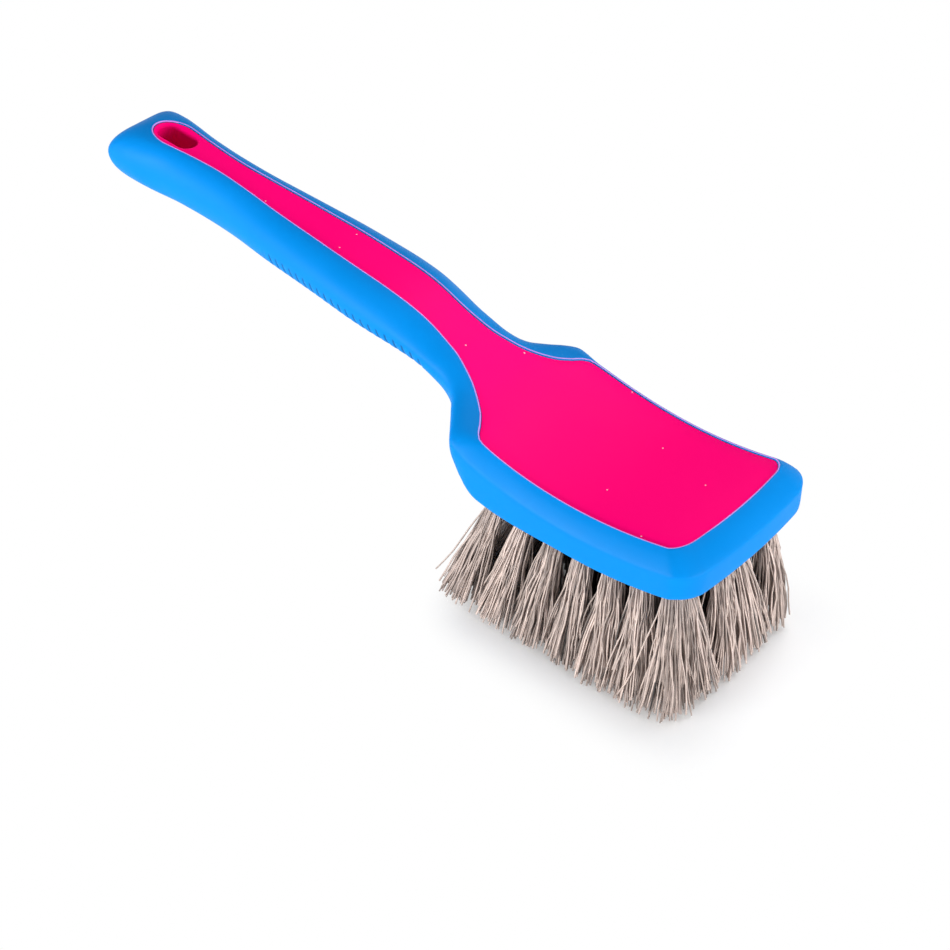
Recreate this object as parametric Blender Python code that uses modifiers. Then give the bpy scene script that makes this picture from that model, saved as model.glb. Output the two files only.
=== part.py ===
"""A tire brush: a hard pink handle core in a soft blue sleeve, with a tufted bristle plate under its head.

The frame is in metres, +Z up. The brush stands on its bristle tips at Z = 0, the origin is in the middle
of the bristle field, +X points to the toe of the head and the handle runs back along -X.
"""

import math

import bmesh
import bpy
from mathutils import Vector

# Head, seen from above: the hard pink panel and the soft rim round it
HEAD_LENGTH = 0.078  # pink panel from its shoulders to its toe edge
HEAD_PANEL_WIDTH = 0.0534
HEAD_SIDE_BOW = 0.0010  # how far the panel's long sides swell
RIM_SIDE_BOW = 0.0005
TOE_BOW = 0.0022
PANEL_CORNER_RADIUS = 0.0064
RIM_WIDTH = 0.0054
TOE_RIM_WIDTH = 0.0072
RIM_CORNER_RADIUS = 0.0092

# Head, seen from the side
HEAD_TOP = 0.0670  # the top of the toe above the bristle tips
HEAD_SAG = 0.0054  # how far the top dips in the middle of the head
RIM_HEIGHT = 0.0158
BEVEL_DROP = 0.0062  # the sloped top of the rim
NECK_DEPTH = 0.0192  # height of the body at the shoulders

# Handle
HANDLE_LENGTH = 0.1725  # pink panel from its butt end to the shoulders
HANDLE_RISE = 0.0323  # the butt end above the toe
HANDLE_DEPTH = 0.0208
GRIP_WIDTH = 0.0345  # the soft sleeve at its widest
PANEL_BELLY_WIDTH = 0.0151  # the pink stripe at its widest
PANEL_END_RADIUS = 0.0100  # length of the stripe's round end
BUTT_OVERHANG = 0.0122  # the sleeve past the stripe's round end
BUTT_ROUND = 0.0086  # length over which the sleeve's end turns

# Walls of the two materials
PANEL_RECESS = 0.0005  # the pink panel lies this far under the blue lip
LIP_WIDTH = 0.0006
ISLAND_DEPTH = 0.0022  # thickness of the sleeve over the core beside the pink stripe
SKIN = 0.0018  # thickness of the sleeve round the core
CORE_DEPTH = 0.0080  # the core's slab in the head
FIT_GAP = 0.0003
CUT_OVERRUN = 0.004

# Hollow of the handle core and its port above the bristle plate
HOLLOW_WALL = 0.0017
HOLLOW_HEAD_END = 0.0140  # the hollow runs this far into the head
PORT_RADIUS = 0.0024

# Hang slot through the butt end
SLOT_LENGTH = 0.0166
SLOT_WIDTH = 0.0074
SLOT_END_WALL = 0.0017  # pink left between the slot and the stripe's end
SLOT_FLARE = 0.0010

# Bristle plate
PLATE_THICKNESS = 0.0074
PLATE_MARGIN = 0.0010  # the plate is this much smaller than the panel over it
PLATE_CORNER_RADIUS = 0.0045

# Tufts
TUFT_RADIUS = 0.0027
TUFT_END_MARGIN = 0.0064  # from the panel's toe edge to the last tuft's middle
TUFT_SIDE_MARGIN = 0.0050
LONG_ROW_TUFTS = 7
ROWS = 5
TUFT_PITCH = (HEAD_LENGTH - 2 * TUFT_END_MARGIN) / (LONG_ROW_TUFTS - 1)
ROW_PITCH = (HEAD_PANEL_WIDTH - 2 * TUFT_SIDE_MARGIN) / (ROWS - 1)
HOLE_DEPTH = 0.0044
ROOT_PROUD = 0.0006  # the root stands this far out of the plate
STAPLE_THICKNESS = 0.0007
STAPLE_HEIGHT = 0.0014
HEEL_SPLAY = 0.0123  # how far the end tufts lean out at their tips
TOE_SPLAY = 0.0077
SIDE_SPLAY = 0.0087
TUFT_SPREAD = 0.0056  # radius of a tuft's tips about its own middle
STRAND_INSET = 0.00016

# Plate screws
SCREW_RADIUS = 0.0015
SCREW_LENGTH = 0.0110
SCREW_POINT = 0.0030
SCREW_HEAD_RADIUS = 0.0026
SCREW_HEAD_HEIGHT = 0.0016
SCREW_SINK = 0.0006
RECESS_WIDTH = 0.0007
RECESS_SPAN = 0.0030
RECESS_DEPTH = 0.0011

# Points along an outline's end, side, head side, corner and toe; the two differ so that no edges nearly meet
SLEEVE_COUNTS = (8, 25, 8, 6, 4)
CORE_COUNTS = (7, 21, 6, 5, 3)
HOLLOW_STEPS = 20
ROUND_SIDES = 16
ROOT_SIDES = 10
HOLLOW_SIDES = 12
FLARE_STEPS = 3
SHARP_DEGREES = 35
MERGE = 0.00001
FLAT_SHARE = 0.99

# Share of the way from the shoulders to the butt end, then shares of a size there
TOP_RISE_SHARES = (
    (0.0, 0.0), (0.064, 0.11), (0.162, 0.337), (0.277, 0.579),
    (0.422, 0.706), (0.595, 0.805), (0.798, 0.92), (1.0, 1.0), (1.1, 1.045),
)
DEPTH_HANDLE_SHARES = (
    (0.0, 0.0), (0.055, 0.0), (0.11, 0.2), (0.17, 0.44), (0.24, 0.72),
    (0.335, 0.885), (0.48, 0.93), (0.62, 0.98), (0.77, 1.0), (1.1, 1.0),
)
DEPTH_NECK_SHARES = (
    (0.0, 1.0), (0.055, 1.015), (0.11, 0.58), (0.17, 0.23), (0.24, 0.04), (0.335, 0.0), (1.1, 0.0),
)
PANEL_BELLY_SHARES = (
    (0.0, 0.0), (0.079, 0.55), (0.157, 0.85), (0.235, 0.93), (0.314, 1.0), (0.45, 0.985),
    (0.549, 0.89), (0.628, 0.8), (0.706, 0.67), (0.785, 0.59), (0.863, 0.67), (0.942, 0.84), (1.0, 0.88),
)
PANEL_HEAD_SHARES = (
    (0.0, 1.0), (0.011, 0.91), (0.022, 0.78), (0.042, 0.59), (0.079, 0.345), (0.113, 0.19),
    (0.157, 0.06), (0.235, 0.0), (1.0, 0.0),
)
GRIP_BELLY_SHARES = (
    (0.0, 0.0), (0.04, 0.05), (0.066, 0.2), (0.095, 0.45), (0.124, 0.65), (0.168, 0.85), (0.231, 0.917),
    (0.335, 1.0), (0.48, 0.94), (0.624, 0.834), (0.769, 0.70), (0.913, 0.734), (1.0, 0.86), (1.1, 0.9),
)
GRIP_HEAD_SHARES = (
    (0.0, 1.0), (0.02, 1.0), (0.038, 0.98), (0.05, 0.925), (0.068, 0.745), (0.092, 0.475),
    (0.114, 0.255), (0.14, 0.11), (0.168, 0.03), (0.231, 0.0), (1.1, 0.0),
)
# Places along the handle between which the head's section turns into the handle's
WIDEST_BLEND_SHARES = (0.02, 0.22)  # the height of the widest line
BEVEL_BLEND_SHARES = (0.005, 0.075)  # the rim's bevel into a round top
WALL_BLEND_SHARES = (-0.015, 0.08)  # the rim's wall into a round underside
NECK_SQUARE_SHARE = 0.5  # 1 would make the neck's top an ellipse, less makes it squarer
BOW_PLACE_SHARE = 0.5  # 1 would put the side's bow in its middle, less moves it to the shoulder
CORNER_PULL_SHARE = 0.4  # how much less the toe's corner tufts lean out
BUTT_SQUARE_SHARE = 0.26  # 1 would make the sleeve's end an ellipse, less makes it squarer
HOLLOW_SQUARE_SHARE = 0.55
HOLLOW_NARROW_SHARE = 0.6  # the hollow is down to its channel where the section is this much the head's
LOWER_SHARE = 0.28  # half-width of the sleeve's flat underside
RIM_FOOT_SHARE = 0.28  # rounding of the rim's foot, as a share of its width
BEVEL_SHARES = ((0.0, 0.0), (0.33, 0.24), (0.66, 0.56), (0.9, 0.84), (1.0, 1.0))  # way out, way down
WALL_SHARES = ((0.0, 0.0), (0.0, 0.4), (0.05, 0.84), (0.4, 0.96), (1.0, 1.0))  # way in, way down
RIM_SETTLE_SHARE = 0.5  # share of the head's length over which the neck's depth settles to the rim's
TIP_SIZE_SHARE = 0.5
TIP_SPREAD_SHARES = (0.09, 0.95, 0.6, 1.0, 0.55, 0.9, 0.62, 1.0, 0.5, 0.95)

SHOULDER_X = -HEAD_LENGTH / 2
TOE_X = HEAD_LENGTH / 2
BUTT_X = SHOULDER_X - HANDLE_LENGTH
OUTER_TOE_X = TOE_X + TOE_RIM_WIDTH
OUTER_BUTT_X = BUTT_X - BUTT_OVERHANG
QUARTERS = len(BEVEL_SHARES)


def smooth(table, at):
    """The table's value at a place, on a curve that runs smoothly through its rows."""
    at = min(max(at, table[0][0]), table[-1][0])
    last = len(table) - 1
    i = next(k for k in range(last) if at <= table[k + 1][0])

    def slope(k):
        low, high = max(k - 1, 0), min(k + 1, last)
        return (table[high][1] - table[low][1]) / (table[high][0] - table[low][0])

    (a, start), (b, end) = table[i], table[i + 1]
    span = b - a
    t = (at - a) / span
    return (
        start * (1 + 2 * t) * (1 - t) ** 2
        + end * t * t * (3 - 2 * t)
        + span * (slope(i) * t * (1 - t) ** 2 - slope(i + 1) * t * t * (1 - t))
    )


def ease(t):
    t = min(max(t, 0), 1)
    return t * t * (3 - 2 * t)


def mix(a, b, share):
    return a + (b - a) * share


def along(x):
    """Share of the way from the shoulders to the butt end of the pink stripe."""
    return (SHOULDER_X - x) / HANDLE_LENGTH


def top_z(x):
    if x > SHOULDER_X:
        return HEAD_TOP - HEAD_SAG * (1 - min(x / TOE_X, 1) ** 2)
    return HEAD_TOP + HANDLE_RISE * smooth(TOP_RISE_SHARES, along(x))


def body_depth(x):
    if x > SHOULDER_X:
        settled = ease((x - SHOULDER_X) / (HEAD_LENGTH * RIM_SETTLE_SHARE))
        return mix(NECK_DEPTH, RIM_HEIGHT, settled)
    at = along(x)
    return HANDLE_DEPTH * smooth(DEPTH_HANDLE_SHARES, at) + NECK_DEPTH * smooth(DEPTH_NECK_SHARES, at)


def head_share(x, ends):
    """1 in the head, 0 in the handle, and smoothly between the two ends along the neck."""
    start, end = ends
    return 1 - ease((along(x) - start) / (end - start))


def panel_half(at):
    belly = PANEL_BELLY_WIDTH / 2 * smooth(PANEL_BELLY_SHARES, at)
    return belly + HEAD_PANEL_WIDTH / 2 * smooth(PANEL_HEAD_SHARES, at)


def grip_half(at):
    belly = GRIP_WIDTH / 2 * smooth(GRIP_BELLY_SHARES, at)
    return belly + (HEAD_PANEL_WIDTH / 2 + RIM_WIDTH) * smooth(GRIP_HEAD_SHARES, at)


def arc(centre, reach, height, count, square=1):
    """Points of a quarter turn, from straight behind a centre round to beside it."""
    points = []
    for k in range(count + 1):
        turn = math.pi / 2 * k / count
        points.append(centre + Vector((-reach * math.cos(turn) ** square, height * math.sin(turn) ** square)))
    return points


def head_side(start_x, toe_x, half, corner, bow, counts):
    """Along the head's side, round the toe's corner and in to the middle of the toe."""
    side_count, corner_count, toe_count = counts
    points = []
    corner_x = toe_x - corner
    for k in range(1, side_count + 1):
        share = k / (side_count + 1)
        swell = bow * math.sin(math.pi * share ** BOW_PLACE_SHARE)
        points.append(Vector((mix(start_x, corner_x, share), half + swell)))
    corner_points = arc(Vector((corner_x, half - corner)), -corner, corner, corner_count)
    for point in reversed(corner_points):
        back = TOE_BOW * (point.y / half) ** 2 * (point.x - corner_x) / corner
        points.append(Vector((point.x - back, point.y)))
    for k in range(1, toe_count + 1):
        y = (half - corner) * (1 - k / toe_count)
        points.append(Vector((toe_x - TOE_BOW * (y / half) ** 2, y)))
    return points


def half_outline(end_x, end_length, square, half_width, shoulder_x, toe_x, head_half, corner, bow, counts):
    """One side of a plan outline, from the middle of the butt end round to the middle of the toe."""
    end_count, side_count, *head_counts = counts
    side_x = end_x + end_length
    points = arc(Vector((side_x, 0)), end_length, half_width(along(side_x)), end_count, square)
    for k in range(1, side_count + 1):
        share = k / side_count
        x = mix(side_x, shoulder_x, mix(share, ease(share), 0.5))
        points.append(Vector((x, half_width(along(x)))))
    return points + head_side(shoulder_x, toe_x, head_half, corner, bow, head_counts)


def grown(outline, amount):
    """The half outline moved out along its normals, its two end points kept on the middle line."""
    result = []
    for k, point in enumerate(outline):
        before = outline[k - 1] if k else Vector((outline[1].x, -outline[1].y))
        after = outline[k + 1] if k + 1 < len(outline) else Vector((outline[k - 1].x, -outline[k - 1].y))
        run = (after - before).normalized()
        result.append(point + Vector((-run.y, run.x)) * amount)
    return result


def panel_outline(counts, grow):
    outline = half_outline(
        BUTT_X, PANEL_END_RADIUS, 1, panel_half, SHOULDER_X, TOE_X,
        HEAD_PANEL_WIDTH / 2, PANEL_CORNER_RADIUS, HEAD_SIDE_BOW, counts,
    )
    return grown(outline, grow)


def grip_outline(counts):
    return half_outline(
        OUTER_BUTT_X, BUTT_ROUND, BUTT_SQUARE_SHARE, grip_half, SHOULDER_X - RIM_WIDTH, OUTER_TOE_X,
        HEAD_PANEL_WIDTH / 2 + RIM_WIDTH, RIM_CORNER_RADIUS, RIM_SIDE_BOW, counts,
    )


def plate_outline(grow):
    """Under the head's panel, with its toe end repeated at the heel."""
    half = HEAD_PANEL_WIDTH / 2 - PLATE_MARGIN
    toe_half = head_side(0, TOE_X - PLATE_MARGIN, half, PLATE_CORNER_RADIUS, 0, CORE_COUNTS[2:])
    heel_half = [Vector((-point.x, point.y)) for point in reversed(toe_half)]
    return grown([*heel_half, Vector((0, half)), *toe_half], grow)


def round_profile(start, widest, foot, bevel_share, wall_share, square=1):
    """Heights and places down one side of a section, as (place, height) pairs.

    It runs out from start to the widest point and in again to the foot: along two quarter rounds in the
    handle, where the shares are 0, and along the rim's bevel and wall in the head, where they are 1.
    """
    profile = []
    for k in range(QUARTERS):
        turn = math.pi / 2 * k / (QUARTERS - 1)
        out = mix(math.sin(turn) ** square, BEVEL_SHARES[k][0], bevel_share)
        down = mix(1 - max(math.cos(turn), 0) ** square, BEVEL_SHARES[k][1], bevel_share)
        profile.append((start[0].lerp(widest[0], out), mix(start[1], widest[1], down)))
    for k in range(1, QUARTERS):
        turn = math.pi / 2 * k / (QUARTERS - 1)
        inward = mix(1 - math.cos(turn), WALL_SHARES[k][0], wall_share)
        down = mix(math.sin(turn), WALL_SHARES[k][1], wall_share)
        profile.append((widest[0].lerp(foot[0], inward), mix(widest[1], foot[1], down)))
    return profile


def body_profiles():
    """The outside of the brush body, one profile for each point of its outline."""
    for inner, outer in zip(panel_outline(SLEEVE_COUNTS, LIP_WIDTH), grip_outline(SLEEVE_COUNTS)):
        widest_share = head_share(outer.x, WIDEST_BLEND_SHARES)
        bevel_share = head_share(outer.x, BEVEL_BLEND_SHARES)
        wall_share = head_share(outer.x, WALL_BLEND_SHARES)
        square = mix(1, NECK_SQUARE_SHARE, widest_share)
        middle_z = top_z(outer.x) - body_depth(outer.x) / 2
        widest = (outer, mix(middle_z, top_z(outer.x) - BEVEL_DROP, widest_share))
        round_foot = Vector((inner.x, LOWER_SHARE * outer.y))
        foot = round_foot.lerp(outer.lerp(inner, RIM_FOOT_SHARE), wall_share)
        foot_z = top_z(foot.x) - body_depth(foot.x)
        start = (inner, top_z(inner.x))
        yield round_profile(start, widest, (foot, foot_z), bevel_share, wall_share, square)


def core_profiles(grow):
    """The core's bar inside the handle, which narrows to the panel's own outline in the head."""
    for inner, outer in zip(panel_outline(CORE_COUNTS, grow - FIT_GAP), grip_outline(CORE_COUNTS)):
        share = head_share(outer.x, WIDEST_BLEND_SHARES)
        across = inner - outer
        widest = outer + across.normalized() * mix(SKIN - grow, across.length, share)
        middle_z = top_z(outer.x) - body_depth(outer.x) / 2
        crest_z = top_z(inner.x) - ISLAND_DEPTH + grow
        slab_z = top_z(inner.x) - CORE_DEPTH - grow
        widest_z = mix(middle_z, mix(crest_z, slab_z, 0.5), share)
        foot = Vector((inner.x, LOWER_SHARE * outer.y)).lerp(inner, share)
        foot_z = mix(top_z(foot.x) - body_depth(foot.x) + SKIN - grow, slab_z, share)
        yield round_profile((inner, crest_z), (widest, widest_z), (foot, foot_z), share, share)


def top_ring(outline, drop):
    """An outline laid on the brush's curved top, or a drop below it."""
    return [(point, top_z(point.x) - drop) for point in outline]


def add_sides(shape, loops):
    """Triangles between loops: a piece and the pocket that it fits then bend along the same diagonals."""
    count = len(loops[0])
    for upper, lower in zip(loops, loops[1:]):
        for k in range(count):
            after = (k + 1) % count
            shape.faces.new((upper[k], upper[after], lower[after]))
            shape.faces.new((upper[k], lower[after], lower[k]))


def stack(name, rings):
    """A closed mesh through half rings from the top down, mirrored about XZ, with strips across both ends."""
    shape = bmesh.new()
    loops = []
    for ring in rings:
        near = [shape.verts.new((point.x, point.y, z)) for point, z in ring]
        far = [shape.verts.new((point.x, -point.y, z)) for point, z in ring[1:-1]]
        loops.append(near + far[::-1])
    add_sides(shape, loops)
    for loop in (loops[0], loops[-1]):
        for k in range(len(rings[0]) - 1):
            corners = [loop[k], loop[k + 1], loop[-k - 1], loop[-k]]
            shape.faces.new(list(dict.fromkeys(corners)))
    return make_object(name, shape)


def loft(name, sections):
    """A closed mesh through rings of points, with a flat face on each end."""
    shape = bmesh.new()
    loops = [[shape.verts.new(point) for point in section] for section in sections]
    add_sides(shape, loops)
    shape.faces.new(loops[0])
    shape.faces.new(loops[-1])
    return make_object(name, shape)


def make_object(name, shape):
    bmesh.ops.recalc_face_normals(shape, faces=shape.faces)
    mesh = bpy.data.meshes.new(name)
    shape.to_mesh(mesh)
    shape.free()
    made = bpy.data.objects.new(name, mesh)
    bpy.context.scene.collection.objects.link(made)
    return made


def turned(name, profile):
    """A round solid from a profile of (radius, height) points, which runs down its outer side."""
    shape = bmesh.new()
    points = [shape.verts.new((radius, 0, z)) for radius, z in profile]
    for start, end in zip(points, points[1:]):
        shape.edges.new((start, end))
    mesh = bpy.data.meshes.new(name)
    shape.to_mesh(mesh)
    shape.free()
    made = bpy.data.objects.new(name, mesh)
    bpy.context.scene.collection.objects.link(made)
    screw = made.modifiers.new("Turn", "SCREW")
    screw.steps = ROUND_SIDES
    screw.render_steps = ROUND_SIDES
    screw.use_merge_vertices = True
    screw.merge_threshold = MERGE
    return made


def box(name, size, centre):
    shape = bmesh.new()
    bmesh.ops.create_cube(shape, size=1)
    for vert in shape.verts:
        vert.co = Vector(side * length for side, length in zip(vert.co, size)) + centre
    return make_object(name, shape)


def material(name, colour, roughness, metallic=0):
    made = bpy.data.materials.new(name)
    made.use_nodes = True
    shader = made.node_tree.nodes["Principled BSDF"]
    shader.inputs["Base Color"].default_value = (*colour, 1)
    shader.inputs["Roughness"].default_value = roughness
    shader.inputs["Metallic"].default_value = metallic
    return made


def move_to(made, collection):
    for old in list(made.users_collection):
        old.objects.unlink(made)
    collection.objects.link(made)


def finish(made, collection, surface):
    """Puts a part in its collection, with its material and smooth shading."""
    move_to(made, collection)
    made.data.materials.append(surface)
    made.data.shade_smooth()
    made.data.set_sharp_from_angle(angle=math.radians(SHARP_DEGREES))


def cut(targets, cutter, cutters):
    """Cuts a hidden cutter out of each target."""
    move_to(cutter, cutters)
    cutter.hide_render = True
    cutter.display_type = "WIRE"
    for target in targets:
        modifier = target.modifiers.new(cutter.name, "BOOLEAN")
        modifier.operation = "DIFFERENCE"
        modifier.solver = "EXACT"
        modifier.object = cutter


def make_sleeve():
    inside_lip = top_ring(panel_outline(SLEEVE_COUNTS, -LIP_WIDTH), 0)
    return stack("grip_overmould", [inside_lip, *zip(*body_profiles())])


def make_core(name, grow=0, top_over=0):
    face = top_ring(panel_outline(CORE_COUNTS, grow - FIT_GAP), PANEL_RECESS - top_over)
    return stack(name, [face, *zip(*core_profiles(grow))])


def make_plate_solid(name, grow, top_drop, bottom_drop):
    outline = plate_outline(grow)
    return stack(name, [top_ring(outline, top_drop), top_ring(outline, bottom_drop)])


def squared(part):
    """A sine or cosine pushed out, so that the section it draws has flatter sides than an ellipse."""
    return math.copysign(abs(part) ** HOLLOW_SQUARE_SHARE, part)


def make_hollow():
    """The core's hollow: wide along the handle and round the slot, then a channel on into the head."""
    sections = []
    start_x = OUTER_BUTT_X + BUTT_ROUND
    end_x = SHOULDER_X + HOLLOW_HEAD_END
    for k in range(HOLLOW_STEPS + 1):
        x = mix(start_x, end_x, k / HOLLOW_STEPS)
        share = head_share(x, WIDEST_BLEND_SHARES)
        bar_depth = body_depth(x) - ISLAND_DEPTH - SKIN
        middle = mix(ISLAND_DEPTH + bar_depth / 2, mix(PANEL_RECESS, CORE_DEPTH, 0.5), share)
        half_height = mix(bar_depth, CORE_DEPTH - PANEL_RECESS, share) / 2 - HOLLOW_WALL
        bar_half_width = grip_half(along(x)) - SKIN - HOLLOW_WALL
        half_width = mix(bar_half_width, PORT_RADIUS, ease(share / HOLLOW_NARROW_SHARE))
        ring = []
        for side in range(HOLLOW_SIDES):
            turn = math.tau * side / HOLLOW_SIDES
            across, up = squared(math.cos(turn)), squared(math.sin(turn))
            ring.append((x, half_width * across, top_z(x) - middle + half_height * up))
        sections.append(ring)
    return loft("core_hollow", sections)


def make_port():
    x = SHOULDER_X + HOLLOW_HEAD_END - PORT_RADIUS
    height = CORE_DEPTH / 2 + CUT_OVERRUN
    made = turned("hollow_port", ((0, height), (PORT_RADIUS, height), (PORT_RADIUS, 0), (0, 0)))
    made.location = (x, 0, top_z(x) - CORE_DEPTH - CUT_OVERRUN)
    return made


def slot_middle_x():
    return BUTT_X + SLOT_END_WALL + SLOT_LENGTH / 2


def slot_ring(flare, drop):
    """A ring of the hang slot, wider than the slot by flare and lower than the panel's face by drop."""
    points = []
    straight = (SLOT_LENGTH - SLOT_WIDTH) / 2
    radius = SLOT_WIDTH / 2 + flare
    for k in range(ROUND_SIDES):
        turn = math.tau * (k + 0.5) / ROUND_SIDES
        x = slot_middle_x() + math.copysign(straight, math.cos(turn)) + radius * math.cos(turn)
        points.append((x, radius * math.sin(turn), top_z(x) - PANEL_RECESS - drop))
    return points


def make_slot_wall():
    """The wall that the hollow leaves standing round the hang slot."""
    return loft("slot_wall", [slot_ring(HOLLOW_WALL, 0), slot_ring(HOLLOW_WALL, HANDLE_DEPTH)])


def make_slot():
    """The hang slot's cutter: an upright slot whose mouth flares in a quarter round at the panel's face."""
    sections = [slot_ring(SLOT_FLARE, -CUT_OVERRUN)]
    for k in range(FLARE_STEPS + 1):
        turn = math.pi / 2 * k / FLARE_STEPS
        sections.append(slot_ring(SLOT_FLARE * (1 - math.sin(turn)), SLOT_FLARE * (1 - math.cos(turn))))
    sections.append(slot_ring(0, HANDLE_DEPTH + CUT_OVERRUN))
    return loft("hang_slot", sections)


def plate_face_z(x):
    """Underside of the bristle plate."""
    return top_z(x) - CORE_DEPTH - FIT_GAP - PLATE_THICKNESS


def tuft_places():
    """Root and tip of each tuft's middle line: roots in staggered rows, and tips that lean out like a fan."""
    half_x = (LONG_ROW_TUFTS - 1) / 2 * TUFT_PITCH
    half_y = (ROWS - 1) / 2 * ROW_PITCH
    for row in range(ROWS):
        y = row * ROW_PITCH - half_y
        count = LONG_ROW_TUFTS - row % 2
        row_half = (count - 1) / 2
        for k in range(count):
            x = (k - row_half) * TUFT_PITCH
            root = Vector((x, y, plate_face_z(x)))
            # The tips of each row spread evenly to the same ends
            place = k / row_half - 1
            pull = 1 - CORNER_PULL_SHARE * (max(place, 0) * y / half_y) ** 2
            splay = (TOE_SPLAY if x > 0 else HEEL_SPLAY) * pull
            yield root, Vector((place * (half_x + splay), y + SIDE_SPLAY * pull * y / half_y, 0))


def add_rod(shape, radius, root, tip, up, down):
    """A rod along a tuft's line, from up inside the plate to down below the plate's face."""
    line = (tip - root).normalized()
    made = bmesh.ops.create_cone(
        shape, cap_ends=True, segments=ROOT_SIDES, radius1=radius, radius2=radius, depth=up + down
    )
    turn = Vector((0, 0, -1)).rotation_difference(line).to_matrix()
    middle = root + line * ((down - up) / 2)
    for vert in made["verts"]:
        vert.co = turn @ vert.co + middle


def make_tuft_holes():
    shape = bmesh.new()
    for root, tip in tuft_places():
        add_rod(shape, TUFT_RADIUS + FIT_GAP, root, tip, HOLE_DEPTH, CUT_OVERRUN)
    return make_object("tuft_holes", shape)


def facing(shape, direction):
    """The shape's flat faces that look along a direction."""
    shape.normal_update()
    return [face for face in shape.faces if face.normal.dot(direction) > FLAT_SHARE]


def add_staple(shape, line):
    """A flat anchor standing on the root's inner end."""
    middle = facing(shape, -line)[0].calc_center_median()
    across = Vector((0, 1, 0)).cross(line).normalized()
    for side in (1, -1):
        faces = facing(shape, -line)
        edges = dict.fromkeys(edge for face in faces for edge in face.edges)
        verts = dict.fromkeys(vert for face in faces for vert in face.verts)
        place = middle + across * side * STAPLE_THICKNESS / 2
        parts = [*faces, *edges, *verts]
        bmesh.ops.bisect_plane(shape, geom=parts, plane_co=place, plane_no=across, dist=MERGE)
    strip = min(facing(shape, -line), key=lambda face: abs((face.calc_center_median() - middle).dot(across)))
    raised = bmesh.ops.extrude_discrete_faces(shape, faces=[strip])["faces"][0]
    for vert in raised.verts:
        vert.co -= line * STAPLE_HEIGHT


def make_tuft(name, root, tip):
    """A tuft: its root in the plate's hole, its flat anchor behind, and its strands fanned to the floor."""
    shape = bmesh.new()
    line = (tip - root).normalized()
    add_rod(shape, TUFT_RADIUS, root, tip, HOLE_DEPTH - FIT_GAP - STAPLE_HEIGHT, ROOT_PROUD)
    add_staple(shape, line)
    lower = facing(shape, line)[0]
    centre = lower.calc_center_median()
    fans = bmesh.ops.poke(shape, faces=[lower])["faces"]
    bmesh.ops.inset_individual(shape, faces=fans, thickness=STRAND_INSET)
    strands = bmesh.ops.extrude_discrete_faces(shape, faces=fans)["faces"]
    for strand, reach in zip(strands, TIP_SPREAD_SHARES):
        middle = strand.calc_center_median()
        heading = (middle - centre).normalized()
        end = tip + Vector((heading.x, heading.y, 0)).normalized() * TUFT_SPREAD * reach
        for vert in strand.verts:
            offset = (vert.co - middle) * TIP_SIZE_SHARE
            vert.co = Vector((end.x + offset.x, end.y + offset.y, 0))
    for vert in shape.verts:
        vert.co -= root
    made = make_object(name, shape)
    made.location = root
    return made


def screw_places():
    """Places between three neighbouring tufts, near the plate's corners."""
    half_y = (ROWS - 1) / 2 * ROW_PITCH
    from_row = (ROW_PITCH ** 2 - (TUFT_PITCH / 2) ** 2) / (2 * ROW_PITCH)
    x = (LONG_ROW_TUFTS - 2) / 2 * TUFT_PITCH
    for side_x in (-1, 1):
        for side_y in (-1, 1):
            yield Vector((side_x * x, side_y * (half_y - from_row), plate_face_z(x) + SCREW_SINK))


def screw_profile(grow):
    """From the point down to the head's face; grown, it is the hole, open far below the head."""
    face = -CUT_OVERRUN if grow else 0
    return (
        (0, SCREW_LENGTH + grow),
        (SCREW_RADIUS + grow, SCREW_LENGTH - SCREW_POINT),
        (SCREW_RADIUS + grow, SCREW_HEAD_HEIGHT + grow),
        (SCREW_HEAD_RADIUS + grow, grow),
        (SCREW_HEAD_RADIUS + grow, face),
        (0, face),
    )


def make_screw(name, place, cutters):
    made = turned(name, screw_profile(0))
    made.location = place
    for k, size in enumerate(((RECESS_SPAN, RECESS_WIDTH), (RECESS_WIDTH, RECESS_SPAN))):
        centre = place + Vector((0, 0, RECESS_DEPTH / 2 - CUT_OVERRUN / 2))
        slot = box(f"{name}_recess_{k + 1}", (*size, RECESS_DEPTH + CUT_OVERRUN), centre)
        cut([made], slot, cutters)
    return made


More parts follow.
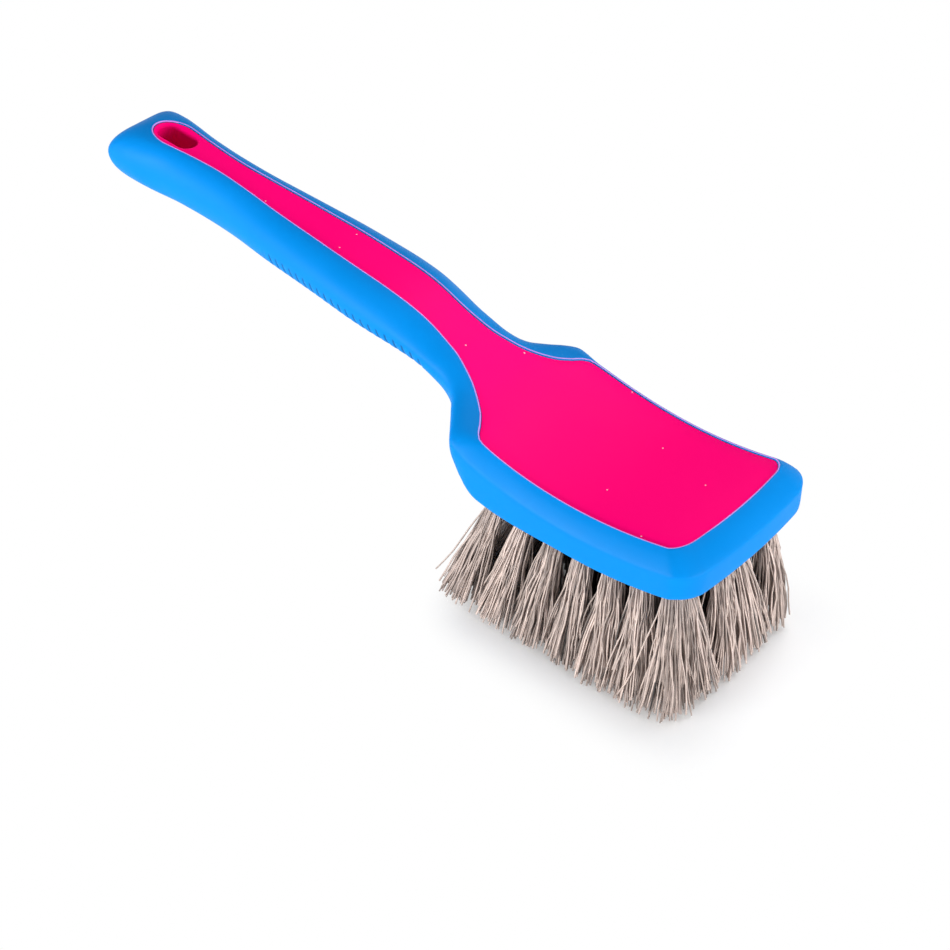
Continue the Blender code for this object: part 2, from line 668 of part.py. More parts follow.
def main():
    for old in list(bpy.data.objects):
        bpy.data.objects.remove(old)
    scene = bpy.context.scene.collection
    parts = bpy.data.collections.new("tire_brush")
    cutters = bpy.data.collections.new("cutters")
    scene.children.link(parts)
    scene.children.link(cutters)
    pink = material("pink_polypropylene", (0.95, 0.0, 0.13), 0.4)
    blue = material("blue_soft_rubber", (0.0, 0.33, 0.92), 0.5)
    black = material("black_plate_plastic", (0.012, 0.012, 0.013), 0.45)
    steel = material("zinc_plated_steel", (0.6, 0.6, 0.58), 0.35, 1)
    bristle = material("grey_bristle", (0.48, 0.41, 0.37), 0.55)

    sleeve = make_sleeve()
    core = make_core("handle_core")
    plate = make_plate_solid("bristle_plate", 0, CORE_DEPTH + FIT_GAP, CORE_DEPTH + FIT_GAP + PLATE_THICKNESS)
    cut([sleeve], make_core("core_pocket", FIT_GAP, CUT_OVERRUN), cutters)
    cut([sleeve], make_plate_solid("plate_pocket", FIT_GAP, CORE_DEPTH, NECK_DEPTH + CUT_OVERRUN), cutters)
    hollow = make_hollow()
    cut([hollow], make_slot_wall(), cutters)
    cut([core], hollow, cutters)
    cut([core], make_port(), cutters)
    cut([sleeve, core], make_slot(), cutters)
    cut([plate], make_tuft_holes(), cutters)
    finish(sleeve, parts, blue)
    finish(core, parts, pink)
    finish(plate, parts, black)

    for k, place in enumerate(screw_places(), 1):
        hole = turned(f"screw_hole_{k}", screw_profile(FIT_GAP))
        hole.location = place
        cut([core, plate], hole, cutters)
        finish(make_screw(f"plate_screw_{k}", place, cutters), parts, steel)
    for k, (root, tip) in enumerate(tuft_places(), 1):
        finish(make_tuft(f"tuft_{k:02d}", root, tip), parts, bristle)


main()
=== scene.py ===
"""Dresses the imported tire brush: smooth mouldings, bristle strands, materials, a studio and the camera.

Lengths are in metres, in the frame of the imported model: +Z up, the bristle tips on Z = 0, +X to the toe,
and the handle running back along -X. The outlines follow the same tables as the part's source.
"""

import math
import random

import bmesh
import bpy
from bpy.props import FloatProperty, FloatVectorProperty, IntProperty, PointerProperty
from mathutils import Matrix, Vector


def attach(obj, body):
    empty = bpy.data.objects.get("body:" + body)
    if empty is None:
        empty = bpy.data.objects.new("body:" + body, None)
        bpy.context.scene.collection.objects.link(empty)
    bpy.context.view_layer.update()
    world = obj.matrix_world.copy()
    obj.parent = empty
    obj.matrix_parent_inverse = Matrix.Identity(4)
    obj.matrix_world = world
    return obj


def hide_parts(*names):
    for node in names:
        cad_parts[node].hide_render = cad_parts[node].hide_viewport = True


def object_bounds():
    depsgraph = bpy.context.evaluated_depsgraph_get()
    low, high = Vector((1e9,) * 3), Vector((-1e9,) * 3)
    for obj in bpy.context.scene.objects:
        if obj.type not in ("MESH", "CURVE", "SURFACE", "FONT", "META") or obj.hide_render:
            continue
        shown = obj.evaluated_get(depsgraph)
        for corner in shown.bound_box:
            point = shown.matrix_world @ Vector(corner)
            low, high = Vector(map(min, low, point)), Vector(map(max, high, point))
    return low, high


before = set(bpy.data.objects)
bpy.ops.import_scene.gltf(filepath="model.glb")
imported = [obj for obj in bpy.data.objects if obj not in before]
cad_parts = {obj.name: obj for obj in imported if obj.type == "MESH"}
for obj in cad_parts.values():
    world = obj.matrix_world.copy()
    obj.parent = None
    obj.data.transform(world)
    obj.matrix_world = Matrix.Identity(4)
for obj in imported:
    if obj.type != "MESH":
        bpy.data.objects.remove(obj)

bl_info = {
    "name": "Tire Brush",
    "version": (1, 0, 0),
    "blender": (4, 5, 0),
    "location": "View3D > Sidebar > Tire Brush",
    "description": "Builds a moulded tire brush with splayed bristle tufts in a plain studio",
    "category": "Object",
}

CAD_BOX = [list(corner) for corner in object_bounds()]

# Head
HEAD_LENGTH = 0.078
HEAD_PANEL_WIDTH = 0.0534
HEAD_SIDE_BOW = 0.0010
RIM_SIDE_BOW = 0.0005
TOE_BOW = 0.0022
PANEL_CORNER_RADIUS = 0.0064
RIM_WIDTH = 0.0054
TOE_RIM_WIDTH = 0.0072
RIM_CORNER_RADIUS = 0.0092
HEAD_TOP = 0.0670
HEAD_SAG = 0.0054
RIM_HEIGHT = 0.0158
BEVEL_DROP = 0.0062
NECK_DEPTH = 0.0192

# Handle
HANDLE_LENGTH = 0.1725
HANDLE_RISE = 0.0323
HANDLE_DEPTH = 0.0208
GRIP_WIDTH = 0.0345
PANEL_BELLY_WIDTH = 0.0151
PANEL_END_RADIUS = 0.0100
BUTT_OVERHANG = 0.0122
BUTT_ROUND = 0.0086

# Walls, the lip round the pink panel, and the hang slot
PANEL_RECESS = 0.0005
LIP_WIDTH = 0.0006
LIP_DROP = 0.0001  # the sleeve's own lip lies this far under its drawn edge
LIP_ROUND = 0.0002
SLAB_GAP = 0.0001
SLAB_ROUND = 0.00025
POCKET_DEPTH = 0.0022
SKIN = 0.0018
CORE_DEPTH = 0.0080
FIT_GAP = 0.0003
CUT_OVERRUN = 0.004
SLOT_LENGTH = 0.0166
SLOT_WIDTH = 0.0074
SLOT_END_WALL = 0.0017
SLOT_FLARE = 0.0014
SLOT_TUBE_WALL = 0.0017
SLOT_TUBE_DROP = 0.0013

# Bristle plate and tufts
PLATE_MARGIN = 0.0010
PLATE_THICKNESS = 0.0074
PLATE_CORNER_RADIUS = 0.0045
TUFT_END_MARGIN = 0.0064
TUFT_SIDE_MARGIN = 0.0050
LONG_ROW_TUFTS = 7
ROWS = 5
TUFT_PITCH = (HEAD_LENGTH - 2 * TUFT_END_MARGIN) / (LONG_ROW_TUFTS - 1)
ROW_PITCH = (HEAD_PANEL_WIDTH - 2 * TUFT_SIDE_MARGIN) / (ROWS - 1)
HEEL_SPLAY = 0.0123
TOE_SPLAY = 0.0077
SIDE_SPLAY = 0.0087
ROOT_RADIUS = 0.0025
ROOT_SINK = 0.0030  # the strands start this far inside the plate
TOE_BULGE = 0.0030  # the toe tufts' bending points lie this far out, which moves the strands half as far
STRAY_INSET = 0.0030  # strays end up to this far inside the edge of the CAD model

# Points along an outline's end, side, head side, corner and toe
SLEEVE_COUNTS = (28, 430, 60, 20, 12)
CORE_COUNTS = (24, 130, 40, 16, 10)
QUARTER_STEPS = 14
UNDERSIDE_STEPS = 5
PANEL_STEPS = 5
LIP_SIDES = 10
LIP_STEPS = 3
SLOT_SIDES = 64
FLARE_STEPS = 8
STRAND_SIDES = 4
STRAND_STEPS = 9
GOLDEN_TURN = math.pi * (3 - math.sqrt(5))
SHARP_DEGREES = 40
RIB_DEGREES = (4, 16, 50)  # how far the side has turned under where the grooves start, are full and end
RIB_POWER = 4  # a larger one makes the grooves narrower
MERGE = 0.0000005

# Share of the way from the shoulders to the butt end, then shares of a size there
TOP_RISE_SHARES = (
    (0.0, 0.0), (0.064, 0.11), (0.162, 0.337), (0.277, 0.579),
    (0.422, 0.706), (0.595, 0.805), (0.798, 0.92), (1.0, 1.0), (1.1, 1.045),
)
DEPTH_HANDLE_SHARES = (
    (0.0, 0.0), (0.055, 0.0), (0.11, 0.2), (0.17, 0.44), (0.24, 0.72),
    (0.335, 0.885), (0.48, 0.93), (0.62, 0.98), (0.77, 1.0), (1.1, 1.0),
)
DEPTH_NECK_SHARES = (
    (0.0, 1.0), (0.055, 1.015), (0.11, 0.58), (0.17, 0.23), (0.24, 0.04), (0.335, 0.0), (1.1, 0.0),
)
PANEL_BELLY_SHARES = (
    (0.0, 0.0), (0.079, 0.55), (0.157, 0.85), (0.235, 0.93), (0.314, 1.0), (0.45, 0.985),
    (0.549, 0.89), (0.628, 0.8), (0.706, 0.67), (0.785, 0.59), (0.863, 0.67), (0.942, 0.84), (1.0, 0.88),
)
PANEL_HEAD_SHARES = (
    (0.0, 1.0), (0.011, 0.91), (0.022, 0.78), (0.042, 0.59), (0.079, 0.345), (0.113, 0.19),
    (0.157, 0.06), (0.235, 0.0), (1.0, 0.0),
)
GRIP_BELLY_SHARES = (
    (0.0, 0.0), (0.04, 0.05), (0.066, 0.2), (0.095, 0.45), (0.124, 0.65), (0.168, 0.85), (0.231, 0.917),
    (0.335, 1.0), (0.48, 0.94), (0.624, 0.834), (0.769, 0.70), (0.913, 0.734), (1.0, 0.86), (1.1, 0.9),
)
GRIP_HEAD_SHARES = (
    (0.0, 1.0), (0.02, 1.0), (0.038, 0.98), (0.05, 0.925), (0.068, 0.745), (0.092, 0.475),
    (0.114, 0.255), (0.14, 0.11), (0.168, 0.03), (0.231, 0.0), (1.1, 0.0),
)
WIDEST_BLEND_SHARES = (0.02, 0.22)
BEVEL_BLEND_SHARES = (0.005, 0.075)
WALL_BLEND_SHARES = (-0.015, 0.08)
NECK_SQUARE_SHARE = 0.5
BOW_PLACE_SHARE = 0.5
CORNER_PULL_SHARE = 0.4
BUTT_SQUARE_SHARE = 0.26
LOWER_SHARE = 0.28
RIM_FOOT_SHARE = 0.28
RIM_SETTLE_SHARE = 0.5
OUTLINE_EASE_SHARE = 0.5

# How the strands of a tuft vary about their size, and how they bend
THICKNESS_SHARES = (0.82, 1.12)
REACH_SHARES = (0.8, 1.15)
SIDEWAYS_REACH_SHARE = 1.3
OUTWARD_LOSS_SHARE = 0.45
STRAY_CHANCE_SHARE = 0.08
STRAY_REACH_SHARES = (1.15, 1.9)
INSET_SHARES = (0.1, 1)
WAVE_SHARES = (0.4, 1.5)
WAVE_TURNS = (1.0, 2.3)
TIP_CALM_SHARE = 0.6
BEND_PLACE_SHARE = 0.46
BEND_STRAIGHT_SHARE = 0.4
HEADING_SCATTER = 0.12
TUFT_TONE = 0.08
STRAND_TONE_SCATTER = 0.2

# Painted shade on the strands: the share of a strand's lightness that its root has, and the share of its
# length where it has all of it, which is past the tip for inner tufts, painted darker since no light gets in
# between them
OUTER_PAINTED_ROOT_SHADE = (0.4, 0.45)
INNER_PAINTED_ROOT_SHADE = (0.0, 1.9)

# Share of the way down the rim's bevel or wall, then shares of its width and height there
BEVEL_OUT_SHARES = ((0.0, 0.0), (0.25, 0.33), (0.5, 0.66), (0.75, 0.9), (1.0, 1.0))
BEVEL_DOWN_SHARES = ((0.0, 0.0), (0.25, 0.24), (0.5, 0.56), (0.75, 0.84), (1.0, 1.0))
WALL_IN_SHARES = ((0.0, 0.0), (0.25, 0.0), (0.5, 0.05), (0.75, 0.4), (1.0, 1.0))
WALL_DOWN_SHARES = ((0.0, 0.0), (0.25, 0.4), (0.5, 0.84), (0.75, 0.96), (1.0, 1.0))

# A cloudy tint: millimetres across, detail, and how much darker and lighter it makes a colour
RUBBER_CLOUD = (22, 3, 0.05)
CORE_CLOUD = (30, 2, 0.025)
LIP_CLOUD = (14, 3, 0.16)
PLATE_CLOUD = (6, 4, 0.3)
ZINC_CLOUD = (0.8, 4, 0.1)

# A relief: millimetres across, detail, strength, and depth in metres. The real texture of the mouldings is
# about 0.05 mm across and wouldn't show, so it is drawn wider.
RUBBER_GRAIN = (0.4, 2, 0.10, 0.00004)
RUBBER_SWELL = (9, 1, 0.12, 0.0004)
CORE_GRAIN = (0.5, 2, 0.06, 0.00003)
LIP_GRAIN = (0.6, 1, 0.1, 0.00003)
PLATE_GRAIN = (0.5, 3, 0.25, 0.00006)
STREAK_MM = 3
FIBRE_MM = 40

# Between which values a texture changes a surface, and the roughness or lightness that it gives there
CLOUD_RANGE = (0.35, 0.65)
SCUFF_RANGE = (0.3, 0.7)
RUBBER_ROUGHNESS = (0.4, 0.5)
CORE_ROUGHNESS = (0.34, 0.42)
ZINC_ROUGHNESS = (0.24, 0.44)
STREAK_SHARES = (0.86, 1.1)

# The shades of the strands, and where the darker one and the middle one stand between the extremes. The
# deepest one, nearly black, gives the painted shade at the roots between the tufts.
STRAND_SHADE_SHARE = 0.5
DEEPEST_PAINTED_SHADE_SHARE = 0.97
STRAND_STOPS = (0.2, 0.5)

# Dust: the cells that may hold a speck, a speck's radius in a cell, how many cells hold one, and its cover
SPECK_CELL_MM = 11
SPECK_RADIUS_SHARE = 0.023
SPECKED_SHARE = 0.15
DUST_SHARE = 0.6
DUST_HEX = "F4E4EA"
PAPER_HEXES = ("F6F6F6", "FAFAFA")

# Between which values of the groove's wave, and of the surface's upward slope, the painted shade in a groove
# grows
GROOVE_WAVE = (0.4, 0.9)
GROOVE_TOP_SLOPE = (-0.02, -0.2)
GROOVE_FOOT_SLOPE = (-0.78, -0.6)
PAINTED_GROOVE_SHADE_SHARE = 0.75
PAINTED_GROOVE_DEEP_SHARE = 0.3

# Painted shade: the pink gets darker between these slopes, where it turns down into the slot and the groove
# by the lip
CORE_PAINTED_SHADE_SLOPE = (0.88, 0.2)
CORE_PAINTED_SHADE_SHARE = 0.42
CORE_PAINTED_DEEP_SHARE = 0.4

# Camera and lamps: place, and for a lamp the point that it faces, its width and height, and its power
CAMERA_PLACE = Vector((0.27389, -0.38426, 0.45386))
CAMERA_PITCH_DEGREES = 49.812
CAMERA_TURN_DEGREES = 41.377
CAMERA_LENS_MM = 75.79
LAMPS = (
    ("softbox_top", (0.0, 0.55, 1.05), (0.0, 0.0, 0.05), (0.9, 0.9), 8.8),
    ("softbox_near", (-0.32, -0.86, 0.15), (-0.14, 0.0, 0.08), (0.7, 0.28), 11.4),
    ("softbox_toe", (0.92, 0.04, 0.17), (0.03, 0.0, 0.05), (0.5, 0.3), 9.0),
)
WORLD_STRENGTH = 0.3
WORLD_GLOSS = 0.05  # gloss reflects a dark room above the paper
SHADOW_MIDDLE_X = 0.009
SHADOW_LENGTH = 0.076
SHADOW_WIDTH = 0.054
SHADOW_REACH = 0.028  # the paper is plain white further out
UNDER_WHITE_SHARE = 0.1  # how much of that white shows between the bristles
COVE_RADIUS = 3.0
COVE_ROUND = 0.5
COVE_HEIGHT = 1.2
COVE_SPIN_STEPS = 48

SHOULDER_X = -HEAD_LENGTH / 2
TOE_X = HEAD_LENGTH / 2
BUTT_X = SHOULDER_X - HANDLE_LENGTH
OUTER_TOE_X = TOE_X + TOE_RIM_WIDTH
OUTER_BUTT_X = BUTT_X - BUTT_OVERHANG


def linear(code):
    """An sRGB hex colour as linear red, green and blue."""
    parts = [int(code[k:k + 2], 16) / 255 for k in (0, 2, 4)]
    return [part / 12.92 if part <= 0.04045 else ((part + 0.055) / 1.055) ** 2.4 for part in parts]


class BodySizes(bpy.types.PropertyGroup):
    """Sizes of the sleeve and the lip that a user would change."""

    lip_line_width: FloatProperty(
        name="Lip line width", description="Width of the pale edge round the panel",
        default=0.0005, min=0.0002, max=0.0015, unit="LENGTH", subtype="DISTANCE",
    )
    rib_pitch: FloatProperty(
        name="Rib pitch", description="Distance between the grip ribs along the handle",
        default=0.0034, min=0.001, max=0.01, unit="LENGTH", subtype="DISTANCE",
    )
    rib_depth: FloatProperty(
        name="Rib depth", description="Depth of the grooves between the grip ribs",
        default=0.0004, min=0.0, max=0.001, unit="LENGTH", subtype="DISTANCE",
    )
    rib_start: FloatProperty(
        name="Rib start", description="Where the ribs start, behind the middle of the head",
        default=-0.147, unit="LENGTH", subtype="DISTANCE",
    )
    rib_end: FloatProperty(
        name="Rib end", description="Where the ribs end, behind the middle of the head",
        default=-0.072, unit="LENGTH", subtype="DISTANCE",
    )


class BristleSizes(bpy.types.PropertyGroup):
    """Sizes of the strands that a user would change."""

    strands: IntProperty(
        name="Strands", description="Strands in each tuft", default=160, min=12, max=200,
    )
    thickness: FloatProperty(
        name="Thickness", description="Diameter of a strand",
        default=0.0006, min=0.0002, max=0.001, unit="LENGTH", subtype="DISTANCE",
    )
    spread: FloatProperty(
        name="Spread", description="Radius of a tuft at its tips",
        default=0.0070, min=0.002, max=0.01, unit="LENGTH", subtype="DISTANCE",
    )
    wave: FloatProperty(
        name="Wave", description="How far a strand waves to each side",
        default=0.0008, min=0.0, max=0.002, unit="LENGTH", subtype="DISTANCE",
    )
    uneven: FloatProperty(
        name="Unevenness", description="How much the strands differ in length",
        default=0.0030, min=0.0, max=0.006, unit="LENGTH", subtype="DISTANCE",
    )


class Finishes(bpy.types.PropertyGroup):
    """Colours of the materials."""

    sleeve: FloatVectorProperty(
        name="Sleeve", description="Soft rubber of the rim and the grip",
        subtype="COLOR", default=linear("0077C4"), min=0, max=1,
    )
    core: FloatVectorProperty(
        name="Core", description="Hard plastic of the panel and the hang slot",
        subtype="COLOR", default=linear("FF0074"), min=0, max=1,
    )
    # The pale edge is a painted highlight along the lip's rounded edge
    lip: FloatVectorProperty(
        name="Lip", description="Pale edge between the sleeve and the panel",
        subtype="COLOR", default=linear("B285DC"), min=0, max=1,
    )
    strand: FloatVectorProperty(
        name="Strand", description="Middle colour of the bristle strands",
        subtype="COLOR", default=linear("B9A8A0"), min=0, max=1,
    )
    plate: FloatVectorProperty(
        name="Plate", description="Filled plastic of the bristle plate",
        subtype="COLOR", default=linear("17181B"), min=0, max=1,
    )
    screw: FloatVectorProperty(
        name="Screws", description="Zinc plating of the plate screws",
        subtype="COLOR", default=linear("A4A5A3"), min=0, max=1,
    )


def smooth(table, at):
    """The table's value at a place, on a curve that runs smoothly through its rows."""
    at = min(max(at, table[0][0]), table[-1][0])
    last = len(table) - 1
    i = next(k for k in range(last) if at <= table[k + 1][0])

    def slope(k):
        low, high = max(k - 1, 0), min(k + 1, last)
        return (table[high][1] - table[low][1]) / (table[high][0] - table[low][0])

    (a, start), (b, end) = table[i], table[i + 1]
    span = b - a
    t = (at - a) / span
    return (
        start * (1 + 2 * t) * (1 - t) ** 2
        + end * t * t * (3 - 2 * t)
        + span * (slope(i) * t * (1 - t) ** 2 - slope(i + 1) * t * t * (1 - t))
    )


def ease(t):
    t = min(max(t, 0), 1)
    return t * t * (3 - 2 * t)


def mix(a, b, share):
    return a + (b - a) * share


def along(x):
    """Share of the way from the shoulders to the butt end of the pink stripe."""
    return (SHOULDER_X - x) / HANDLE_LENGTH


def top_z(x):
    if x > SHOULDER_X:
        return HEAD_TOP - HEAD_SAG * (1 - min(x / TOE_X, 1) ** 2)
    return HEAD_TOP + HANDLE_RISE * smooth(TOP_RISE_SHARES, along(x))


def body_depth(x):
    if x > SHOULDER_X:
        settled = ease((x - SHOULDER_X) / (HEAD_LENGTH * RIM_SETTLE_SHARE))
        return mix(NECK_DEPTH, RIM_HEIGHT, settled)
    at = along(x)
    return HANDLE_DEPTH * smooth(DEPTH_HANDLE_SHARES, at) + NECK_DEPTH * smooth(DEPTH_NECK_SHARES, at)


def head_share(x, ends):
    """1 in the head, 0 in the handle, and smoothly between the two ends along the neck."""
    start, end = ends
    return 1 - ease((along(x) - start) / (end - start))


def panel_half(at):
    belly = PANEL_BELLY_WIDTH / 2 * smooth(PANEL_BELLY_SHARES, at)
    return belly + HEAD_PANEL_WIDTH / 2 * smooth(PANEL_HEAD_SHARES, at)


def grip_half(at):
    belly = GRIP_WIDTH / 2 * smooth(GRIP_BELLY_SHARES, at)
    return belly + (HEAD_PANEL_WIDTH / 2 + RIM_WIDTH) * smooth(GRIP_HEAD_SHARES, at)


def quarter(count):
    """The angles of a quarter turn in even steps."""
    return [math.pi / 2 * k / count for k in range(count + 1)]


def arc(centre, reach, height, count, square=1):
    """Points of a quarter turn, from straight behind a centre round to beside it."""
    points = []
    for turn in quarter(count):
        points.append(centre + Vector((-reach * math.cos(turn) ** square, height * math.sin(turn) ** square)))
    return points


def head_side(start_x, toe_x, half, corner, bow, counts):
    """Along the head's side, round the toe's corner and in to the middle of the toe."""
    side_count, corner_count, toe_count = counts
    points = []
    corner_x = toe_x - corner
    for k in range(1, side_count + 1):
        share = k / (side_count + 1)
        swell = bow * math.sin(math.pi * share ** BOW_PLACE_SHARE)
        points.append(Vector((mix(start_x, corner_x, share), half + swell)))
    for point in reversed(arc(Vector((corner_x, half - corner)), -corner, corner, corner_count)):
        back = TOE_BOW * (point.y / half) ** 2 * (point.x - corner_x) / corner
        points.append(Vector((point.x - back, point.y)))
    for k in range(1, toe_count + 1):
        y = (half - corner) * (1 - k / toe_count)
        points.append(Vector((toe_x - TOE_BOW * (y / half) ** 2, y)))
    return points


def half_outline(end_x, end_length, square, half_width, shoulder_x, toe_x, head_half, corner, bow, counts):
    """One side of a plan outline, from the middle of the butt end round to the middle of the toe."""
    end_count, side_count, *head_counts = counts
    side_x = end_x + end_length
    points = arc(Vector((side_x, 0)), end_length, half_width(along(side_x)), end_count, square)
    for k in range(1, side_count + 1):
        share = k / side_count
        x = mix(side_x, shoulder_x, mix(share, ease(share), OUTLINE_EASE_SHARE))
        points.append(Vector((x, half_width(along(x)))))
    return points + head_side(shoulder_x, toe_x, head_half, corner, bow, head_counts)


def grown(outline, amount):
    """The half outline moved out along its normals, its two end points kept on the middle line."""
    result = []
    for k, point in enumerate(outline):
        before = outline[k - 1] if k else Vector((outline[1].x, -outline[1].y))
        after = outline[k + 1] if k + 1 < len(outline) else Vector((outline[k - 1].x, -outline[k - 1].y))
        run = (after - before).normalized()
        result.append(point + Vector((-run.y, run.x)) * amount)
    return result


def panel_outline(counts, grow):
    outline = half_outline(
        BUTT_X, PANEL_END_RADIUS, 1, panel_half, SHOULDER_X, TOE_X,
        HEAD_PANEL_WIDTH / 2, PANEL_CORNER_RADIUS, HEAD_SIDE_BOW, counts,
    )
    return grown(outline, grow)


def grip_outline(counts):
    return half_outline(
        OUTER_BUTT_X, BUTT_ROUND, BUTT_SQUARE_SHARE, grip_half, SHOULDER_X - RIM_WIDTH, OUTER_TOE_X,
        HEAD_PANEL_WIDTH / 2 + RIM_WIDTH, RIM_CORNER_RADIUS, RIM_SIDE_BOW, counts,
    )


def plate_outline(grow):
    """Under the head's panel, with its toe end repeated at the heel."""
    half = HEAD_PANEL_WIDTH / 2 - PLATE_MARGIN
    toe_half = head_side(0, TOE_X - PLATE_MARGIN, half, PLATE_CORNER_RADIUS, 0, CORE_COUNTS[2:])
    heel_half = [Vector((-point.x, point.y)) for point in reversed(toe_half)]
    return grown([*heel_half, Vector((0, half)), *toe_half], grow)


def on_top(place, drop):
    """A point over a place of the plan, lower by drop than the brush's curved top."""
    return Vector((place.x, place.y, top_z(place.x) - drop))


def spine(place, low_x, high_x):
    """The point of the middle line that a place closes to: its round ends close to one point each."""
    return Vector((min(max(place.x, low_x), high_x), 0))


def new_piece(name, shape):
    """An object in the scene, from a bmesh that it uses up."""
    mesh = bpy.data.meshes.new(name)
    shape.to_mesh(mesh)
    shape.free()
    made = bpy.data.objects.new(name, mesh)
    bpy.context.scene.collection.objects.link(made)
    return made


def shaded(piece):
    """Shades a piece smooth but for its sharp edges."""
    piece.data.shade_smooth()
    piece.data.set_sharp_from_angle(angle=math.radians(SHARP_DEGREES))


def half_skin(name, columns):
    """A closed skin: a grid laid over one side's columns of points, then mirrored about the middle plane."""
    shape = bmesh.new()
    across, down = len(columns) - 1, len(columns[0]) - 1
    bmesh.ops.create_grid(shape, x_segments=across, y_segments=down, size=1)
    reach = max(vert.co.x for vert in shape.verts)
    for vert in shape.verts:
        k = round((vert.co.x / reach + 1) / 2 * across)
        j = round((vert.co.y / reach + 1) / 2 * down)
        vert.co = columns[k][j]
    everything = [*shape.verts, *shape.edges, *shape.faces]
    bmesh.ops.mirror(shape, geom=everything, matrix=Matrix.Identity(4), merge_dist=MERGE, axis="Y")
    bmesh.ops.remove_doubles(shape, verts=shape.verts, dist=MERGE)
    bmesh.ops.dissolve_degenerate(shape, edges=shape.edges, dist=MERGE)
    bmesh.ops.recalc_face_normals(shape, faces=shape.faces)
    return new_piece(name, shape)


def combined(piece, other, operation):
    """Cuts another shape out of the piece, or joins it on, for good."""
    step = piece.modifiers.new("Combine", "BOOLEAN")
    step.operation = operation
    step.solver = "EXACT"
    step.object = other
    graph = bpy.context.evaluated_depsgraph_get()
    mesh = bpy.data.meshes.new_from_object(piece.evaluated_get(graph))
    piece.modifiers.clear()
    old = piece.data
    piece.data = mesh
    bpy.data.meshes.remove(old)
    bpy.data.objects.remove(other)


def rib_groove(x, turn, sizes):
    """Depth of the grip grooves at a place, where turn is how far the surface has turned under."""
    start, full, end = RIB_DEGREES
    angle = math.degrees(turn)
    under = ease((angle - start) / (full - start)) * ease((end - angle) / full)
    ends = ease((x - sizes.rib_start) / sizes.rib_pitch) * ease((sizes.rib_end - x) / sizes.rib_pitch)
    wave = 0.5 + 0.5 * math.cos(math.tau * x / sizes.rib_pitch)
    return sizes.rib_depth * under * ends * wave ** RIB_POWER


def sleeve_column(wall, inner, outer, sizes):
    """Points down one section of the sleeve: pocket, lip, side and underside."""
    widest_share, bevel_share, wall_share = (
        head_share(outer.x, ends) for ends in (WIDEST_BLEND_SHARES, BEVEL_BLEND_SHARES, WALL_BLEND_SHARES)
    )
    square = mix(1, NECK_SQUARE_SHARE, widest_share)
    floor = spine(wall, BUTT_X + PANEL_END_RADIUS, TOE_X - RIM_CORNER_RADIUS)
    points = [on_top(floor, POCKET_DEPTH), on_top(wall, POCKET_DEPTH)]
    outward = (inner - wall).normalized() * LIP_ROUND
    for turn in quarter(LIP_STEPS):
        drop = LIP_DROP + LIP_ROUND * (1 - math.sin(turn))
        points.append(on_top(wall + outward * (1 - math.cos(turn)), drop))

    widest_z = mix(top_z(outer.x) - body_depth(outer.x) / 2, top_z(outer.x) - BEVEL_DROP, widest_share)
    foot = Vector((inner.x, LOWER_SHARE * outer.y)).lerp(outer.lerp(inner, RIM_FOOT_SHARE), wall_share)
    foot_z = top_z(foot.x) - body_depth(foot.x)
    for k in range(QUARTER_STEPS + 1):
        t = k / QUARTER_STEPS
        turn = math.pi / 2 * t
        out = mix(math.sin(turn) ** square, smooth(BEVEL_OUT_SHARES, t), bevel_share)
        down = mix(1 - max(math.cos(turn), 0) ** square, smooth(BEVEL_DOWN_SHARES, t), bevel_share)
        place = inner.lerp(outer, out)
        points.append(Vector((place.x, place.y, mix(top_z(inner.x) - LIP_DROP, widest_z, down))))
    for k in range(1, QUARTER_STEPS + 1):
        t = k / QUARTER_STEPS
        turn = math.pi / 2 * t
        inward = max(smooth(WALL_IN_SHARES, t), 0)
        place = outer.lerp(foot, mix(1 - math.cos(turn), inward, wall_share))
        z = mix(widest_z, foot_z, mix(math.sin(turn), smooth(WALL_DOWN_SHARES, t), wall_share))
        point = Vector((place.x, place.y, z))
        axis = Vector((place.x, 0, widest_z))
        groove = rib_groove(place.x, turn, sizes)
        points.append(point + (axis - point).normalized() * groove if groove else point)
    middle = spine(foot, OUTER_BUTT_X + BUTT_ROUND, OUTER_TOE_X - RIM_CORNER_RADIUS)
    for k in range(1, UNDERSIDE_STEPS + 1):
        place = foot.lerp(middle, k / UNDERSIDE_STEPS)
        groove = rib_groove(place.x, math.pi / 2, sizes)
        points.append(Vector((place.x, place.y, top_z(place.x) - body_depth(place.x) + groove)))
    return points


def make_sleeve_skin(sizes):
    walls = panel_outline(SLEEVE_COUNTS, 0)
    inners = panel_outline(SLEEVE_COUNTS, LIP_WIDTH)
    outers = grip_outline(SLEEVE_COUNTS)
    return half_skin("soft_sleeve", [sleeve_column(*places, sizes) for places in zip(walls, inners, outers)])


def make_plate_pocket():
    """The room for the bristle plate under the head."""
    columns = []
    low = NECK_DEPTH + CUT_OVERRUN
    for place in plate_outline(FIT_GAP):
        middle = spine(place, -TOE_X + PLATE_CORNER_RADIUS, TOE_X - PLATE_CORNER_RADIUS)
        corners = ((middle, CORE_DEPTH), (place, CORE_DEPTH), (place, low), (middle, low))
        columns.append([on_top(*corner) for corner in corners])
    return half_skin("plate_pocket", columns)


def make_slab():
    """The pink panel: its curved face, its rounded edge and its underside in the sleeve's pocket."""
    columns = []
    for edge in panel_outline(CORE_COUNTS, -SLAB_GAP):
        middle = spine(edge, BUTT_X + PANEL_END_RADIUS, TOE_X - PANEL_CORNER_RADIUS)
        inward = (middle - edge).normalized() * SLAB_ROUND
        column = []
        for k in range(PANEL_STEPS):
            column.append(on_top(middle.lerp(edge + inward, k / PANEL_STEPS), PANEL_RECESS))
        for turn in quarter(LIP_STEPS):
            drop = PANEL_RECESS + SLAB_ROUND * (1 - math.cos(turn))
            column.append(on_top(edge + inward * (1 - math.sin(turn)), drop))
        column += [on_top(edge, POCKET_DEPTH - SLAB_GAP), on_top(middle, POCKET_DEPTH - SLAB_GAP)]
        columns.append(column)
    return half_skin("pink_core", columns)


